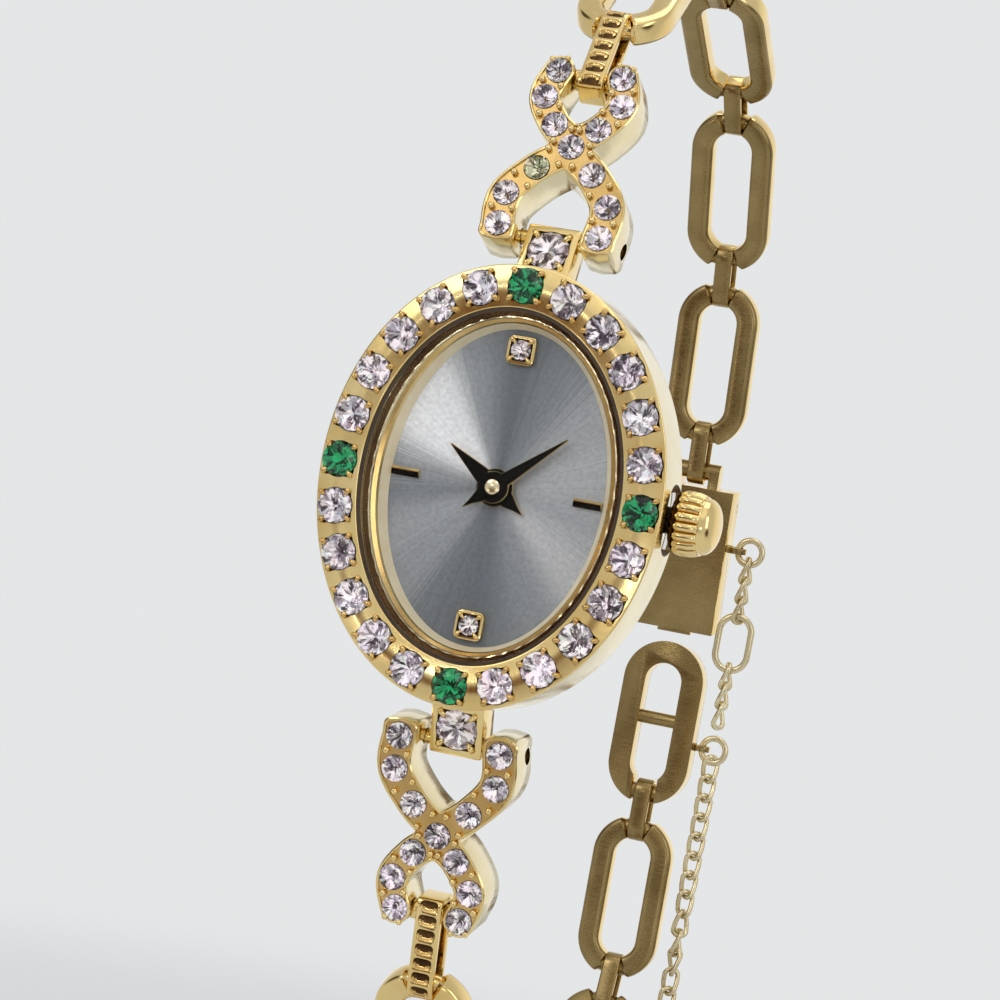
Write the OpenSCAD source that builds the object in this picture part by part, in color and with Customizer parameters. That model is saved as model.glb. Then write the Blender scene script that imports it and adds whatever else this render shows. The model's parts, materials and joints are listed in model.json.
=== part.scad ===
// Oval jewelled quartz watch on an open-link bracelet.
// +Z is 12 o'clock, the dial faces -Y, the crown points to +X and the case back's outer face is y = 0.

/* [Case] */
// Half width of the case, across 9 and 3
case_rx = 8.12; // [7.8:0.02:8.6]
// Half height of the case, along 12 and 6
case_rz = 10.15; // [9.9:0.05:10.6]
// Height of the case from its back to its stone-set face
case_h = 5.8; // [5.7:0.05:6.2]
// Width of the stone-set face ring
ring_w = 2; // [1.9:0.02:2.1]
// Number of stones round the face
stone_count = 24; // [20:4:24]
// Diameter of a stone on the face ring and on the lugs
stone_d = 1.7; // [1.5:0.05:1.75]

/* [Dial and hands] */
// Half width of the dial that the inner ring leaves open
window_rx = 5.09; // [4.9:0.01:5.3]
// Half height of the dial that the inner ring leaves open
window_rz = 7.31; // [7.1:0.01:7.5]
// Distance from the dial's centre to the small stones at 12 and 6
dial_stone_z = 6.36; // [6:0.02:6.5]
// Diameter of the small stones on the dial
dial_stone_d = 1; // [0.8:0.05:1.1]
// Length of the minute hand from its axis
minute_len = 4.07; // [3.6:0.01:4.6]
// Length of the hour hand from its axis
hour_len = 2.93; // [2.4:0.01:3.2]
// Angle that the minute hand shows, clockwise from 12
minute_at = 48.5; // [0:0.5:360]
// Angle that the hour hand shows, clockwise from 12
hour_at = 304; // [0:0.5:360]

/* [Crown] */
// Largest diameter of the crown
crown_d = 3; // [2.6:0.1:3.2]
// Distance from the crown's inner face to the top of its dome
crown_len = 2.3; // [2.1:0.05:2.6]
// Number of flutes on the crown
flutes = 18; // [14:1:22]

/* [Bracelet] */
// Length of a long link
link_len = 9.7; // [9.4:0.1:10.2]
// Width of a long link
link_w = 4.8; // [4.6:0.1:5]
// Width of the bar that a long link is bent from
link_bar = 1.3; // [1.2:0.05:1.4]
// Thickness of a long link
link_t = 1.3; // [1.2:0.05:1.5]
// Diameter of a stone on the figure-eight links
small_stone_d = 1.2; // [1:0.05:1.25]
// Distance between the two necks that a clip joins
clip_step = 2.1; // [2:0.05:2.4]
// Distance between the two pivots of a ribbed connector
connector_step = 3.4; // [3.2:0.1:3.8]

/* [Safety chain] */
// Number of small links under the large link of the strand that hangs from the clasp
clasp_strand_links = 3; // [1:1:3]
// Number of small links on the strand that hangs from the ladder link
ladder_strand_links = 14; // [10:1:22]
// Distance from one small link to the next
chain_step = 1.15; // [1.1:0.01:1.2]

/* [Hidden] */
gold = [0.86, 0.7, 0.36];
steel = [0.72, 0.73, 0.75];
clear = [0.85, 0.84, 0.88];
green = [0.02, 0.45, 0.22];
$fn = 64;
cut = 1;
touch = 0.02;

// Levels through the case, as depths in front of the case back's outer face
wall_back = 2.2;
rim_back = 1.1;
gasket_back = 0.95;
back_step = 0.3;
ledge = 4.9;
crystal_front = case_h - 0.25;
crystal_back = 5.15;
dial_front = 4.2;
dial_back = 3.95;
plate_front = 3.35;
plate_back = 2.9;
stator_back = 2.75;
bridge_front = 1.9;
bridge_back = 1.5;
board_back = 2.65;
holder_back = 1.7;
face_rx = case_rx - ring_w + 0.05;
face_rz = case_rz - ring_w;
cavity_rx = case_rx - 1.37;
cavity_rz = case_rz - 1.4;
rim_in = 0.7;
crystal_gap = 0.15;
plate_rx = cavity_rx - 0.6;
plate_rz = cavity_rz - 1.2;

// Stones: share of the diameter that is above and below the girdle
stone_up = 0.17;
stone_girdle = 0.06;
stone_down = 0.4;
stone_seat = stone_d * (stone_girdle + stone_down);
stone_mid = 0.95;
prong_r = 0.17;
prong_side = 0.68;

// Lugs and their pins
lug_w = 2.3;
lug_front = 4.1;
lug_back = 1.6;
lug_in = case_rz - 1;
lug_out = case_rz + 2.25;
lug_stone_z = case_rz + 1.05;
pin_y = -2.4;
pin_z = case_rz + 1.6;
pin_r = 0.35;
pin_half = 3.1;
run = 0.05;

// Figure-eight link: stone centres from the pin outwards, as [half spacing, distance]
eight_row = [[2.43, -0.14], [2.45, 1.42], [1.34, 2.89], [0, 4.15], [1.06, 5.16], [1.89, 6.5], [1.56, 7.9]];
eight_arm = [0.84, 0.84, 0.8, 0.78, 0.76, 0.76, 0.76];
eight_front = 1.6;
eight_back = 0.7;
eight_foot = -0.92;
neck_r = 0.5;
eight_pin = [-0.45, 8.05];
eight_tip = 0.82;

// Long links, clips and connectors
neck_half = 0.74;
clip_w = 1;
connector_w = 1.24;
strap_t = 0.3;
strap_r = neck_r + run;
end_r = link_w / 2;
slot_r = end_r - link_bar;
neck_step = link_len - link_bar;
ribs = 6;
rib_step = 0.7;
rib_first = 0.35 - strap_r - strap_t;
rib_size = [0.84, 0.14, 0.42];

// Clasp and ladder link
clasp_w = 5;
clasp_len = 9.4;
clasp_wall = 0.45;
clasp_out = 1.1;
clasp_in = 0.9;
clasp_start = strap_r + strap_t + 0.1;
cover_pin_r = 0.25;
barrel_r = 0.45;
cover_pin_y = barrel_r - clasp_out;
cover_pin_z = clasp_start + clasp_wall + barrel_r + 0.08;
cover_t = 0.45;
ladder_rung = 4.4;

// Safety chain
wire = 0.15;
chain_w = 1.1;
ring_r = 0.72;
ring_wire = 0.19;
eye_r = 0.5;
eye_hole = 0.3;
eye_t = 0.34;
big_w = 2.3;
big_len = 3.6;
big_wire = 0.2;
join_links = 3;
slack = 0.02;
small_len = chain_step + 4 * wire + 2 * slack;
clasp_eye_z = 4.26;
ladder_eye_z = 3.2;
clasp_eye_x = 3.13;
ladder_eye_x = 2.88;

// Rest shape of the bracelet: tilt of each piece from the 12-6 line, towards the back
upper_tilt = [15.5, 30, 50, 86, 116, 150, 168, 172];
lower_tilt = [11, 13, 30, 54, 78, 113, 148, 182, 181];
clasp_i = 7;
ladder_i = 8;

function along(t) = [sin(t), cos(t)];
function turned(v, t) = [v[0] * cos(t) + v[1] * sin(t), -v[0] * sin(t) + v[1] * cos(t)];
function eight_end(t) = [pin_y, pin_z] + turned(eight_pin, t);
function next_pivot(p, tilts, i) =
    i == 0 ? eight_end(tilts[0])
    : i == 1 ? p + connector_step * along(tilts[1])
    : p + neck_step * along(tilts[i]) + clip_step * along((tilts[i] + tilts[i + 1]) / 2);
function pivot(tilts, i) = i == 0 ? [pin_y, pin_z] : next_pivot(pivot(tilts, i - 1), tilts, i - 1);
function pivots(tilts) = [for (i = [0 : len(tilts) - 1]) pivot(tilts, i)];
upper_pivot = pivots(upper_tilt);
lower_pivot = pivots(lower_tilt);

// Angles of equally spaced points on the ring's middle line, clockwise from 12
mid_rx = case_rx - stone_mid;
mid_rz = case_rz - stone_mid - 0.02;
arc_steps = 360;
function arc_part(a) = norm([mid_rx * (sin(a) - sin(a - 1)), mid_rz * (cos(a) - cos(a - 1))]);
arc_table = [for (a = 0, s = 0; a <= arc_steps; a = a + 1, s = s + arc_part(a)) [s, a]];
arc_total = arc_table[arc_steps][0];
function ring_angle(i) = lookup(arc_total * i / stone_count, arc_table);
function ring_point(a, out = 0) =
    let (n = [sin(a) / mid_rx, cos(a) / mid_rz])
    [mid_rx * sin(a), mid_rz * cos(a)] + out * n / norm(n);

// Wheels: the size of a tooth, tooth counts, and where the axes stand
train_m = 0.09;
motion_m = 0.1;
pinion = 8;
center_teeth = 40;
third_teeth = 24;
inter_teeth = 16;
cannon_teeth = 10;
minute_teeth = 30;
hour_teeth = 32;
tooth_out = 0.75;
axle_r = 0.12;
function next_axis(from, teeth, way) = from + train_m * (teeth + pinion) / 2 * along(way);
third_at = next_axis([0, 0], center_teeth, -40);
inter_at = next_axis(third_at, third_teeth, 40);
rotor_at = next_axis(inter_at, inter_teeth, 70);
minute_wheel_at = motion_m * (cannon_teeth + minute_teeth) / 2 * along(233);
center_wheel_r = train_m * (center_teeth / 2 + tooth_out);

// Battery cell of 4.8 x 1.65 mm, its clamp and the coil
battery_r = 2.4;
battery_front = 3.25;
battery_back = 1.6;
battery_at = [0, battery_r - plate_rz + 0.4];
clamp_t = 0.15;
clamp_post = battery_r + 0.5;
coil_z = plate_rz - 1.65;
coil_r = 0.42;
core_x = 2.75;
core_w = 0.7;

// Stem, crown and the recess in the case's side
stem_y = -3.2;
stem_r = 0.3;
stem_in = plate_rx - 3.2;
fork_x = plate_rx - 1.8;
fork_t = 0.22;
crown_in = case_rx + 0.06;
tube_r = 0.62;
tube_in = cavity_rx - 0.1;
recess_r = 1.65;
recess_x = case_rx - 0.57;

// Extrudes a drawing of the dial's plane between two depths
module slab(front, back) {
    translate([0, -back, 0]) rotate([90, 0, 0]) linear_extrude(front - back) children();
}

module oval(rx, rz) {
    scale([rx, rz]) circle(r = 1);
}

// A round bar along X
module bar_x(r, half) {
    rotate([0, 90, 0]) cylinder(r = r, h = 2 * half, center = true);
}

module rod(at, r, front, back) {
    slab(front, back) translate(at) circle(r = r);
}

module upper(i) {
    translate([0, upper_pivot[i][0], upper_pivot[i][1]]) rotate([-upper_tilt[i], 0, 0]) children();
}

module lower(i) {
    translate([0, lower_pivot[i][0], -lower_pivot[i][1]])
        rotate([180 + lower_tilt[i], 0, 0]) rotate([0, 0, 180]) children();
}

// A round stone whose girdle is level with y = 0 and whose table faces -Y
module stone(d, down = stone_down) {
    rotate([90, 0, 0]) {
        cylinder(r1 = d / 2, r2 = 0.3 * d, h = stone_up * d);
        translate([0, 0, -stone_girdle * d]) cylinder(r = d / 2, h = stone_girdle * d);
        translate([0, 0, -(stone_girdle + down) * d]) cylinder(r1 = 0.12 * d, r2 = d / 2, h = down * d);
    }
}

// The drilled seat that a stone rests in
module seat(d, down = stone_down) {
    rotate([-90, 0, 0]) translate([0, 0, -cut]) cylinder(r = d / 2 + touch, h = cut + (stone_girdle + down) * d);
}

module on_ring(first, step) {
    for (i = [first : step : stone_count - 1]) {
        p = ring_point(ring_angle(i));
        translate([p[0], -case_h, p[1]]) children();
    }
}

module face_beads() {
    for (i = [0 : stone_count - 1], side = [-1, 1]) {
        p = ring_point(ring_angle(i + 0.5), side * prong_side);
        translate([p[0], -case_h, p[1]]) sphere(r = prong_r);
    }
}

module lug_block() {
    translate([-lug_w / 2, -lug_front, lug_in]) cube([lug_w, lug_front - lug_back, lug_out - lug_in]);
}

module case_body() {
    color(gold) difference() {
        union() {
            slab(case_h, wall_back) oval(case_rx, case_rz);
            slab(wall_back, rim_back) oval(case_rx - rim_in, case_rz - rim_in);
            lug_block();
            mirror([0, 0, 1]) lug_block();
            face_beads();
        }
        slab(case_h + cut, ledge) oval(face_rx, face_rz);
        slab(ledge, rim_back - cut) oval(cavity_rx, cavity_rz);
        on_ring(0, 1) seat(stone_d);
        for (s = [-1, 1]) {
            translate([0, -lug_front, s * lug_stone_z]) seat(stone_d);
            translate([0, pin_y, s * pin_z]) bar_x(pin_r, lug_w);
        }
        translate([recess_x, stem_y, 0]) rotate([0, 90, 0]) cylinder(r = recess_r, h = 2 * cut);
        translate([cavity_rx - cut, stem_y, 0]) rotate([0, 90, 0]) cylinder(r = tube_r, h = 3 * cut);
    }
}

module face_clear_stones() {
    color(clear) for (q = [1 : stone_count / 4 - 1]) on_ring(q, stone_count / 4) stone(stone_d);
}

module face_green_stones() {
    color(green) on_ring(0, stone_count / 4) stone(stone_d);
}

module lug_stones() {
    color(clear) for (s = [-1, 1]) translate([0, -lug_front, s * lug_stone_z]) stone(stone_d);
}

module lug_pins() {
    color(gold) for (s = [-1, 1]) translate([0, pin_y, s * pin_z]) bar_x(pin_r, pin_half);
}

module crystal() {
    color([0.9, 0.95, 1, 0.3])
        slab(crystal_front, crystal_back) oval(face_rx - crystal_gap, face_rz - crystal_gap);
}

module crystal_gasket() {
    color([0.9, 0.9, 0.88]) slab(crystal_front, crystal_back) difference() {
        oval(face_rx, face_rz);
        oval(face_rx - crystal_gap, face_rz - crystal_gap);
    }
}

// The ring slopes from under the crystal down to the dial and has a flange behind the case's ledge
module inner_ring() {
    top_rx = face_rx - crystal_gap;
    top_rz = face_rz - crystal_gap;
    color(gold) difference() {
        union() {
            slab(crystal_back, dial_front) oval(face_rx - touch, face_rz - touch);
            slab(ledge, dial_front) oval(cavity_rx - 0.1, cavity_rz - 0.1);
        }
        translate([0, -crystal_back, 0]) rotate([-90, 0, 0])
            linear_extrude(crystal_back - dial_front, scale = [window_rx / top_rx, window_rz / top_rz], slices = 1)
                oval(top_rx, top_rz, $fn = 96);
    }
}

module dial() {
    color([0.74, 0.75, 0.78]) slab(dial_front, dial_back) difference() {
        oval(cavity_rx - 0.35, cavity_rz - 0.45);
        circle(r = 0.8);
    }
}

module dial_markers() {
    baton = [1.3, 0.34];
    baton_x = 4.38;
    square_w = 1.37;
    square_h = 0.3;
    color(gold) {
        for (s = [-1, 1]) {
            slab(dial_front + 0.2, dial_front) translate([s * baton_x, 0]) square(baton, center = true);
            difference() {
                slab(dial_front + square_h, dial_front)
                    translate([0, s * dial_stone_z]) square(square_w, center = true);
                translate([0, -dial_front - square_h, s * dial_stone_z]) seat(dial_stone_d, 0.18);
            }
        }
    }
}

module dial_stones() {
    color(clear) for (s = [-1, 1])
        translate([0, -dial_front - 0.3, s * dial_stone_z]) stone(dial_stone_d, 0.18);
}

module movement_holder() {
    color([0.93, 0.93, 0.9]) difference() {
        slab(dial_back, holder_back) difference() {
            oval(cavity_rx - 0.05, cavity_rz - 0.05);
            oval(plate_rx, plate_rz);
        }
        translate([plate_rx - cut, stem_y - 2 * stem_r, -2.5 * stem_r])
            cube([cavity_rx - plate_rx + 2 * cut, 4 * stem_r, 5 * stem_r]);
    }
}

module main_plate() {
    color([0.8, 0.66, 0.38]) difference() {
        union() {
            slab(plate_front, plate_back) oval(plate_rx, plate_rz);
            for (s = [-1, 1]) rod([s * clamp_post, battery_at[1]], 0.35, plate_back + touch, battery_back);
            rod(minute_wheel_at, 0.15, 3.9, plate_front - touch);
        }
        rod(battery_at, battery_r + run, battery_front, 0);
        rod([0, 0], 0.44, 5, 2);
        for (p = [third_at, inter_at, rotor_at]) rod(p, axle_r + 0.04, plate_front + cut, plate_back - cut);
        translate([stem_in - stem_r, -plate_front - cut, -2 * stem_r]) cube([plate_rx, 2 * cut, 4 * stem_r]);
    }
}

module train_bridge() {
    low = -0.9;
    high = coil_z - 0.9;
    posts = [[-0.75, 0.16], [0.75, 0.21], [0.67, 0.48]];
    color(steel) {
        difference() {
            slab(bridge_front, bridge_back) intersection() {
                oval(plate_rx - 0.15, plate_rz - 0.15);
                translate([-plate_rx, low]) square([2 * plate_rx, high - low]);
            }
            for (p = [third_at, inter_at, rotor_at]) rod(p, axle_r + 0.04, bridge_front + cut, bridge_back - cut);
            rod([0, 0], 0.19, bridge_front + cut, bridge_back - cut);
        }
        for (p = posts) rod([p[0] * plate_rx, p[1] * plate_rz], 0.4, plate_back, bridge_front - touch);
    }
}

// The winding and its core, whose ends rest on the stator
module coil() {
    coil_y = -stator_back + 0.45;
    color([0.72, 0.36, 0.16])
        translate([0, coil_y, coil_z]) bar_x(coil_r, core_x - core_w / 2);
    color(steel) for (s = [-1, 1]) translate([s * core_x, coil_y, coil_z])
        cube([core_w + touch, 0.9, 2 * coil_r], center = true);
}

// A plate round the rotor with a cross bar above it and an arm to each end of the coil's core
module stator() {
    gap = 0.7;
    arm_z = rotor_at[1] + 0.5;
    difference() {
        color(steel) union() {
            slab(plate_back, stator_back) translate(rotor_at - [1, 0.95]) square([2.05, 2]);
            slab(plate_back, stator_back)
                translate([-core_x - core_w / 2, arm_z]) square([2 * core_x + core_w, 0.8]);
            for (s = [-1, 1]) slab(plate_back, stator_back)
                translate([s * core_x - core_w / 2, arm_z]) square([core_w, coil_z + coil_r - arm_z]);
        }
        rod(rotor_at, gap, plate_back + cut, stator_back - cut);
        rod(inter_at, 2 * axle_r, plate_back + cut, stator_back - cut);
    }
}

module circuit_board() {
    top = -1.3;
    chip = 1.3;
    chip_t = 0.3;
    difference() {
        color([0.1, 0.34, 0.16]) slab(plate_back, board_back) intersection() {
            oval(plate_rx - 0.15, plate_rz - 0.15);
            translate([-plate_rx, -plate_rz]) square([2 * plate_rx, plate_rz + top]);
        }
        rod([0, 0], center_wheel_r + 0.1, plate_back + cut, board_back - cut);
        rod(battery_at, battery_r + 0.1, plate_back + cut, board_back - cut);
        for (s = [-1, 1]) rod([s * clamp_post, battery_at[1]], 0.5, plate_back + cut, board_back - cut);
    }
    color([0.05, 0.05, 0.06]) translate([-0.8 * plate_rx, -board_back - touch, -0.38 * plate_rz])
        cube([chip, chip_t + touch, chip]);
}

module quartz_can() {
    can_r = 0.45;
    can_len = 2.5;
    color(steel) translate([0.7 * plate_rx, can_r - board_back, -0.52 * plate_rz]) cylinder(r = can_r, h = can_len);
}

module battery() {
    rim = 0.35;
    step = 0.15;
    color([0.8, 0.8, 0.82]) {
        rod(battery_at, battery_r, battery_front - step, battery_back + step);
        rod(battery_at, battery_r - rim, battery_front, battery_back);
    }
}

// A spring strip across the battery, held by a screw in each post
module battery_clamp() {
    half = clamp_post + 0.6;
    strip = 0.9;
    color(steel) {
        slab(battery_back, battery_back - clamp_t) difference() {
            translate([-half, battery_at[1] - strip / 2]) square([2 * half, strip]);
            for (s = [-1, 1]) translate([s * clamp_post, battery_at[1]]) circle(r = 0.18);
        }
        for (s = [-1, 1]) rod([s * clamp_post, battery_at[1]], 0.3, battery_back - clamp_t, 1.3);
    }
}

// Its outer step is trimmed flat at y = 0, the face that lies on the wrist
module case_back() {
    color([0.8, 0.8, 0.78]) {
        slab(holder_back, gasket_back) difference() {
            oval(cavity_rx - 0.03, cavity_rz - 0.03);
            oval(cavity_rx - 0.45, cavity_rz - 0.45);
        }
        slab(gasket_back, back_step) oval(case_rx - rim_in, case_rz - rim_in);
        difference() {
            slab(back_step + touch, -cut) oval(case_rx - 1.5, case_rz - 1.5);
            translate([-case_rx, 0, -case_rz]) cube([2 * case_rx, 2 * cut, 2 * case_rz]);
        }
    }
}

module case_back_gasket() {
    color([0.12, 0.12, 0.12]) slab(rim_back, gasket_back) difference() {
        oval(case_rx - rim_in - 0.06, case_rz - rim_in - 0.06);
        oval(cavity_rx + 0.05, cavity_rz + 0.05);
    }
}

module crown_tube() {
    color(steel) translate([tube_in, stem_y, 0]) rotate([0, 90, 0]) difference() {
        cylinder(r = tube_r, h = crown_in + 0.4 - tube_in);
        translate([0, 0, -cut]) cylinder(r = stem_r + 0.04, h = 4 * cut);
    }
}

// The slide's fork sits in the stem's groove, so it travels with the stem and doesn't turn
module setting_slide() {
    color(steel) difference() {
        union() {
            translate([fork_x - fork_t / 2, stem_y - 0.22, -0.52]) cube([fork_t, 0.6, 1.04]);
            translate([fork_x - 0.6, -plate_back + touch, -1.1]) cube([1.2, 0.15, 2.2]);
        }
        translate([fork_x, stem_y, 0]) bar_x(0.22, 2 * cut);
        translate([fork_x - cut, stem_y - cut, -0.22]) cube([2 * cut, cut, 0.44]);
        translate([fork_x - cut, stem_y, 0]) rotate([0, 90, 0]) cylinder(r = stem_r + 0.04, h = cut - fork_t / 2);
        translate([fork_x + fork_t / 2, stem_y, 0]) rotate([0, 90, 0]) cylinder(r = stem_r + 0.04, h = cut);
    }
}

module stem() {
    groove = 0.3;
    color(steel) translate([0, stem_y, 0]) rotate([0, 90, 0]) difference() {
        translate([0, 0, stem_in]) cylinder(r = stem_r, h = crown_in + 1.3 - stem_in);
        translate([0, 0, fork_x - groove / 2]) difference() {
            cylinder(r = 1, h = groove);
            translate([0, 0, -cut]) cylinder(r = 0.18, h = groove + 2 * cut);
        }
    }
}

module crown() {
    r = crown_d / 2;
    shoulder = 0.6 * crown_len;
    tip = crown_len - 0.12;
    dome = tip - shoulder;
    dome_r = r - 0.28;
    sphere_r = (dome * dome + dome_r * dome_r) / (2 * dome);
    steps = 10;
    color(gold) translate([crown_in, stem_y, 0]) rotate([0, 90, 0]) difference() {
        union() {
            difference() {
                union() {
                    cylinder(r1 = r - 0.32, r2 = r, h = 0.7);
                    translate([0, 0, 0.7]) cylinder(r1 = r, r2 = r - 0.12, h = shoulder - 0.7);
                }
                for (i = [0 : flutes - 1]) rotate([0, 0, i * 360 / flutes])
                    translate([r + 0.02, 0, -cut]) cylinder(r = 0.14, h = shoulder + cut + 0.2);
            }
            translate([0, 0, shoulder - touch]) intersection() {
                cylinder(r = dome_r, h = dome + 0.2);
                translate([0, 0, dome - sphere_r]) sphere(r = sphere_r);
            }
        }
        translate([0, 0, -cut]) cylinder(r = tube_r + 0.06, h = cut + 0.5);
        translate([0, 0, -cut]) cylinder(r = stem_r, h = cut + 1.3);
    }
}

// A hand from its pointed tip to its flared tail, with its hub's hole left open
module hand(angle, length, tail, width, hub, bore, back) {
    front = back + 0.15;
    difference() {
        union() {
            slab(front, back) rotate(-angle)
                polygon([[0, length], [width / 2, 0.95], [0.12, 0], [width * 0.42, -tail * 0.72],
                    [0, -tail], [-width * 0.42, -tail * 0.72], [-0.12, 0], [-width / 2, 0.95]]);
            rod([0, 0], hub, front, back);
        }
        rod([0, 0], bore, front + cut, back - cut);
    }
}

module minute_hand() {
    color(gold) hand(minute_at, minute_len, 1.7, 0.62, 0.55, 0.3, 4.65);
}

module hour_hand() {
    color(gold) hand(hour_at, hour_len, 1.8, 0.74, 0.72, 0.6, 4.4);
}

module hand_cap() {
    color(steel) {
        rod([0, 0], 0.45, 4.9, 4.8);
        rod([0, 0], 0.3, 4.97, 4.9 - touch);
    }
}

// A wheel whose first tooth points at the angle phase
function wheel_outline(teeth, m, phase) = [
    for (i = [0 : teeth - 1], k = [[-0.27, -1], [-0.12, tooth_out], [0.12, tooth_out], [0.27, -1]])
        let (a = phase + (i + k[0]) * 360 / teeth, r = m * (teeth / 2 + k[1])) [r * cos(a), r * sin(a)]
];
function heading(v) = atan2(v[1], v[0]);

module wheel(at, teeth, m, phase, front, back, bore = 0) {
    slab(front, back) translate(at) difference() {
        polygon(wheel_outline(teeth, m, phase));
        if (bore > 0) circle(r = bore);
    }
}

// The cannon pinion, the arbor and the train's last wheel turn together with the minute hand
module center_wheel() {
    color(gold) {
        rod([0, 0], 0.3, 4.8, 4.65);
        rod([0, 0], 0.36, 4.65, 2.4);
        wheel([0, 0], cannon_teeth, motion_m, heading(minute_wheel_at), 3.62, 3.44);
        wheel([0, 0], center_teeth, train_m, heading(third_at), 2.86, 2.7);
        rod([0, 0], 0.15, 2.4 + touch, bridge_back);
    }
}

module hour_wheel() {
    color(gold) {
        rod_tube([0, 0], 0.6, 0.41, 4.55, 3.68);
        wheel([0, 0], hour_teeth, motion_m, heading(minute_wheel_at), 3.9, 3.75, 0.5);
    }
}

module rod_tube(at, r, bore, front, back) {
    slab(front, back) translate(at) difference() {
        circle(r = r);
        circle(r = bore);
    }
}

module minute_wheel() {
    back_way = heading(-minute_wheel_at);
    color(gold) {
        wheel(minute_wheel_at, minute_teeth, motion_m, back_way + 180 / minute_teeth, 3.62, 3.44, 0.19);
        wheel(minute_wheel_at, pinion, motion_m, back_way + 180 / pinion, 3.9, 3.62 - touch, 0.19);
    }
}

module third_wheel() {
    color(gold) {
        wheel(third_at, pinion, train_m, heading(-third_at) + 180 / pinion, 2.86, 2.55 - touch);
        wheel(third_at, third_teeth, train_m, heading(inter_at - third_at), 2.55, 2.42);
        rod(third_at, axle_r, plate_front, bridge_back);
    }
}

module intermediate_wheel() {
    color(gold) {
        wheel(inter_at, pinion, train_m, heading(third_at - inter_at) + 180 / pinion, 2.57, 2.25);
        wheel(inter_at, inter_teeth, train_m, heading(rotor_at - inter_at), 2.27, 2.14);
        rod(inter_at, axle_r, plate_front, bridge_back);
    }
}

module rotor() {
    color(steel) {
        rod(rotor_at, 0.6, 2.8, 2.36);
        wheel(rotor_at, pinion, train_m, heading(inter_at - rotor_at) + 180 / pinion, 2.36 + touch, 2.12);
        rod(rotor_at, axle_r, plate_front, bridge_back);
    }
}

// A straight run between two points of a drawing, a little narrower than the discs at its ends
module run_between(a, b, r) {
    d = b - a;
    half = r - touch;
    translate(a) rotate(atan2(d[1], d[0])) translate([0, -half]) square([norm(d), 2 * half]);
}

function side_of(p, s) = [s * p[0], p[1]];

// Body of the figure-eight link: arms along both rows of stones, with feet that hold the pin
module eight_body() {
    for (s = [-1, 1]) {
        for (i = [0 : len(eight_row) - 1]) rod(side_of(eight_row[i], s), eight_arm[i], eight_front, -eight_back);
        for (i = [0 : len(eight_row) - 2]) slab(eight_front, -eight_back)
            run_between(side_of(eight_row[i], s), side_of(eight_row[i + 1], s), eight_arm[i + 1]);
        translate([s * eight_row[0][0] - eight_arm[0] + touch, -eight_front, eight_foot])
            cube([2 * (eight_arm[0] - touch), eight_front + eight_back, eight_row[0][1] - eight_foot]);
    }
}

// Beads stand on both sides of the line between neighbouring stones
module eight_beads() {
    for (s = [-1, 1], i = [0 : len(eight_row) - 2], side = [-1, 1]) {
        a = side_of(eight_row[i], s);
        b = side_of(eight_row[i + 1], s);
        n = [b[1] - a[1], a[0] - b[0]] / norm(b - a);
        p = (a + b) / 2 + side * 0.5 * n;
        translate([p[0], -eight_front, p[1]]) sphere(r = 0.14);
    }
}

module eight_seats() {
    for (p = eight_row, s = p[0] > 0 ? [-1, 1] : [1]) translate([s * p[0], -eight_front, p[1]]) children();
}

module eight_link() {
    difference() {
        union() {
            eight_body();
            eight_beads();
            translate([0, eight_pin[0], eight_pin[1]]) bar_x(neck_r, eight_tip + 0.1);
        }
        eight_seats() seat(small_stone_d);
        for (s = [-1, 1]) translate([s * eight_row[0][0], 0, 0]) bar_x(pin_r + run, 1.2);
    }
}

module upper_eight_link() {
    color(gold) upper(0) eight_link();
}

module lower_eight_link() {
    color(gold) lower(0) eight_link();
}

module upper_eight_stones() {
    color(clear) upper(0) eight_seats() stone(small_stone_d);
}

module lower_eight_stones() {
    color(clear) lower(0) eight_seats() stone(small_stone_d);
}

// A bar of stadium section that reaches from one neck's axis to another's, a step away along Z
module strap_core(step, r, width) {
    rotate([0, 90, 0]) translate([0, 0, -width / 2]) linear_extrude(width) strap_outline(step, r);
}

// A closed strap round two parallel necks
module strap(step, width) {
    difference() {
        strap_core(step, strap_r + strap_t, width);
        strap_core(step, strap_r, width + cut);
    }
}

module strap_outline(step, r) {
    circle(r = r);
    translate([-step, 0]) circle(r = r);
    translate([-step, -r]) square([step, 2 * r]);
}

// The connector is a band with a square end over the figure-eight's neck
module connector() {
    half = strap_r + strap_t;
    difference() {
        union() {
            strap_core(connector_step, half, connector_w);
            translate([-connector_w / 2, -half, -half]) cube([connector_w, 2 * half, half + touch]);
        }
        strap_core(connector_step, strap_r, connector_w + cut);
        for (i = [0 : ribs - 1]) translate([0, -half, rib_first + i * rib_step])
            cube([rib_size[0], 2 * rib_size[1], rib_size[2]], center = true);
    }
}

module upper_connector() {
    color(gold) upper(1) connector();
}

module lower_connector() {
    color(gold) lower(1) connector();
}

module link_outline(r) {
    far = neck_step + link_bar / 2 - end_r;
    near = end_r - link_bar / 2;
    translate([0, near]) circle(r = r);
    translate([0, far]) circle(r = r);
    translate([-r, near]) square([2 * r, far - near]);
}

// A long link whose two end bars narrow to round necks for the clips
module long_link() {
    difference() {
        slab(link_t / 2, -link_t / 2) difference() {
            link_outline(end_r);
            link_outline(slot_r);
        }
        for (z = [0, neck_step]) translate([0, 0, z])
            cube([2 * neck_half, 2 * link_t, 1.5 * link_bar], center = true);
    }
    for (z = [0, neck_step]) translate([0, 0, z]) bar_x(neck_r, neck_half + 0.12);
}

// The clip rides on its link's outer neck, turned half way to the next link
module link_with_clip(tilts, i) {
    long_link();
    translate([0, 0, neck_step]) rotate([(tilts[i] - tilts[i + 1]) / 2, 0, 0]) strap(clip_step, clip_w);
}

module upper_link(i) {
    color(gold) upper(i + 1) link_with_clip(upper_tilt, i + 1);
}

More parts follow.
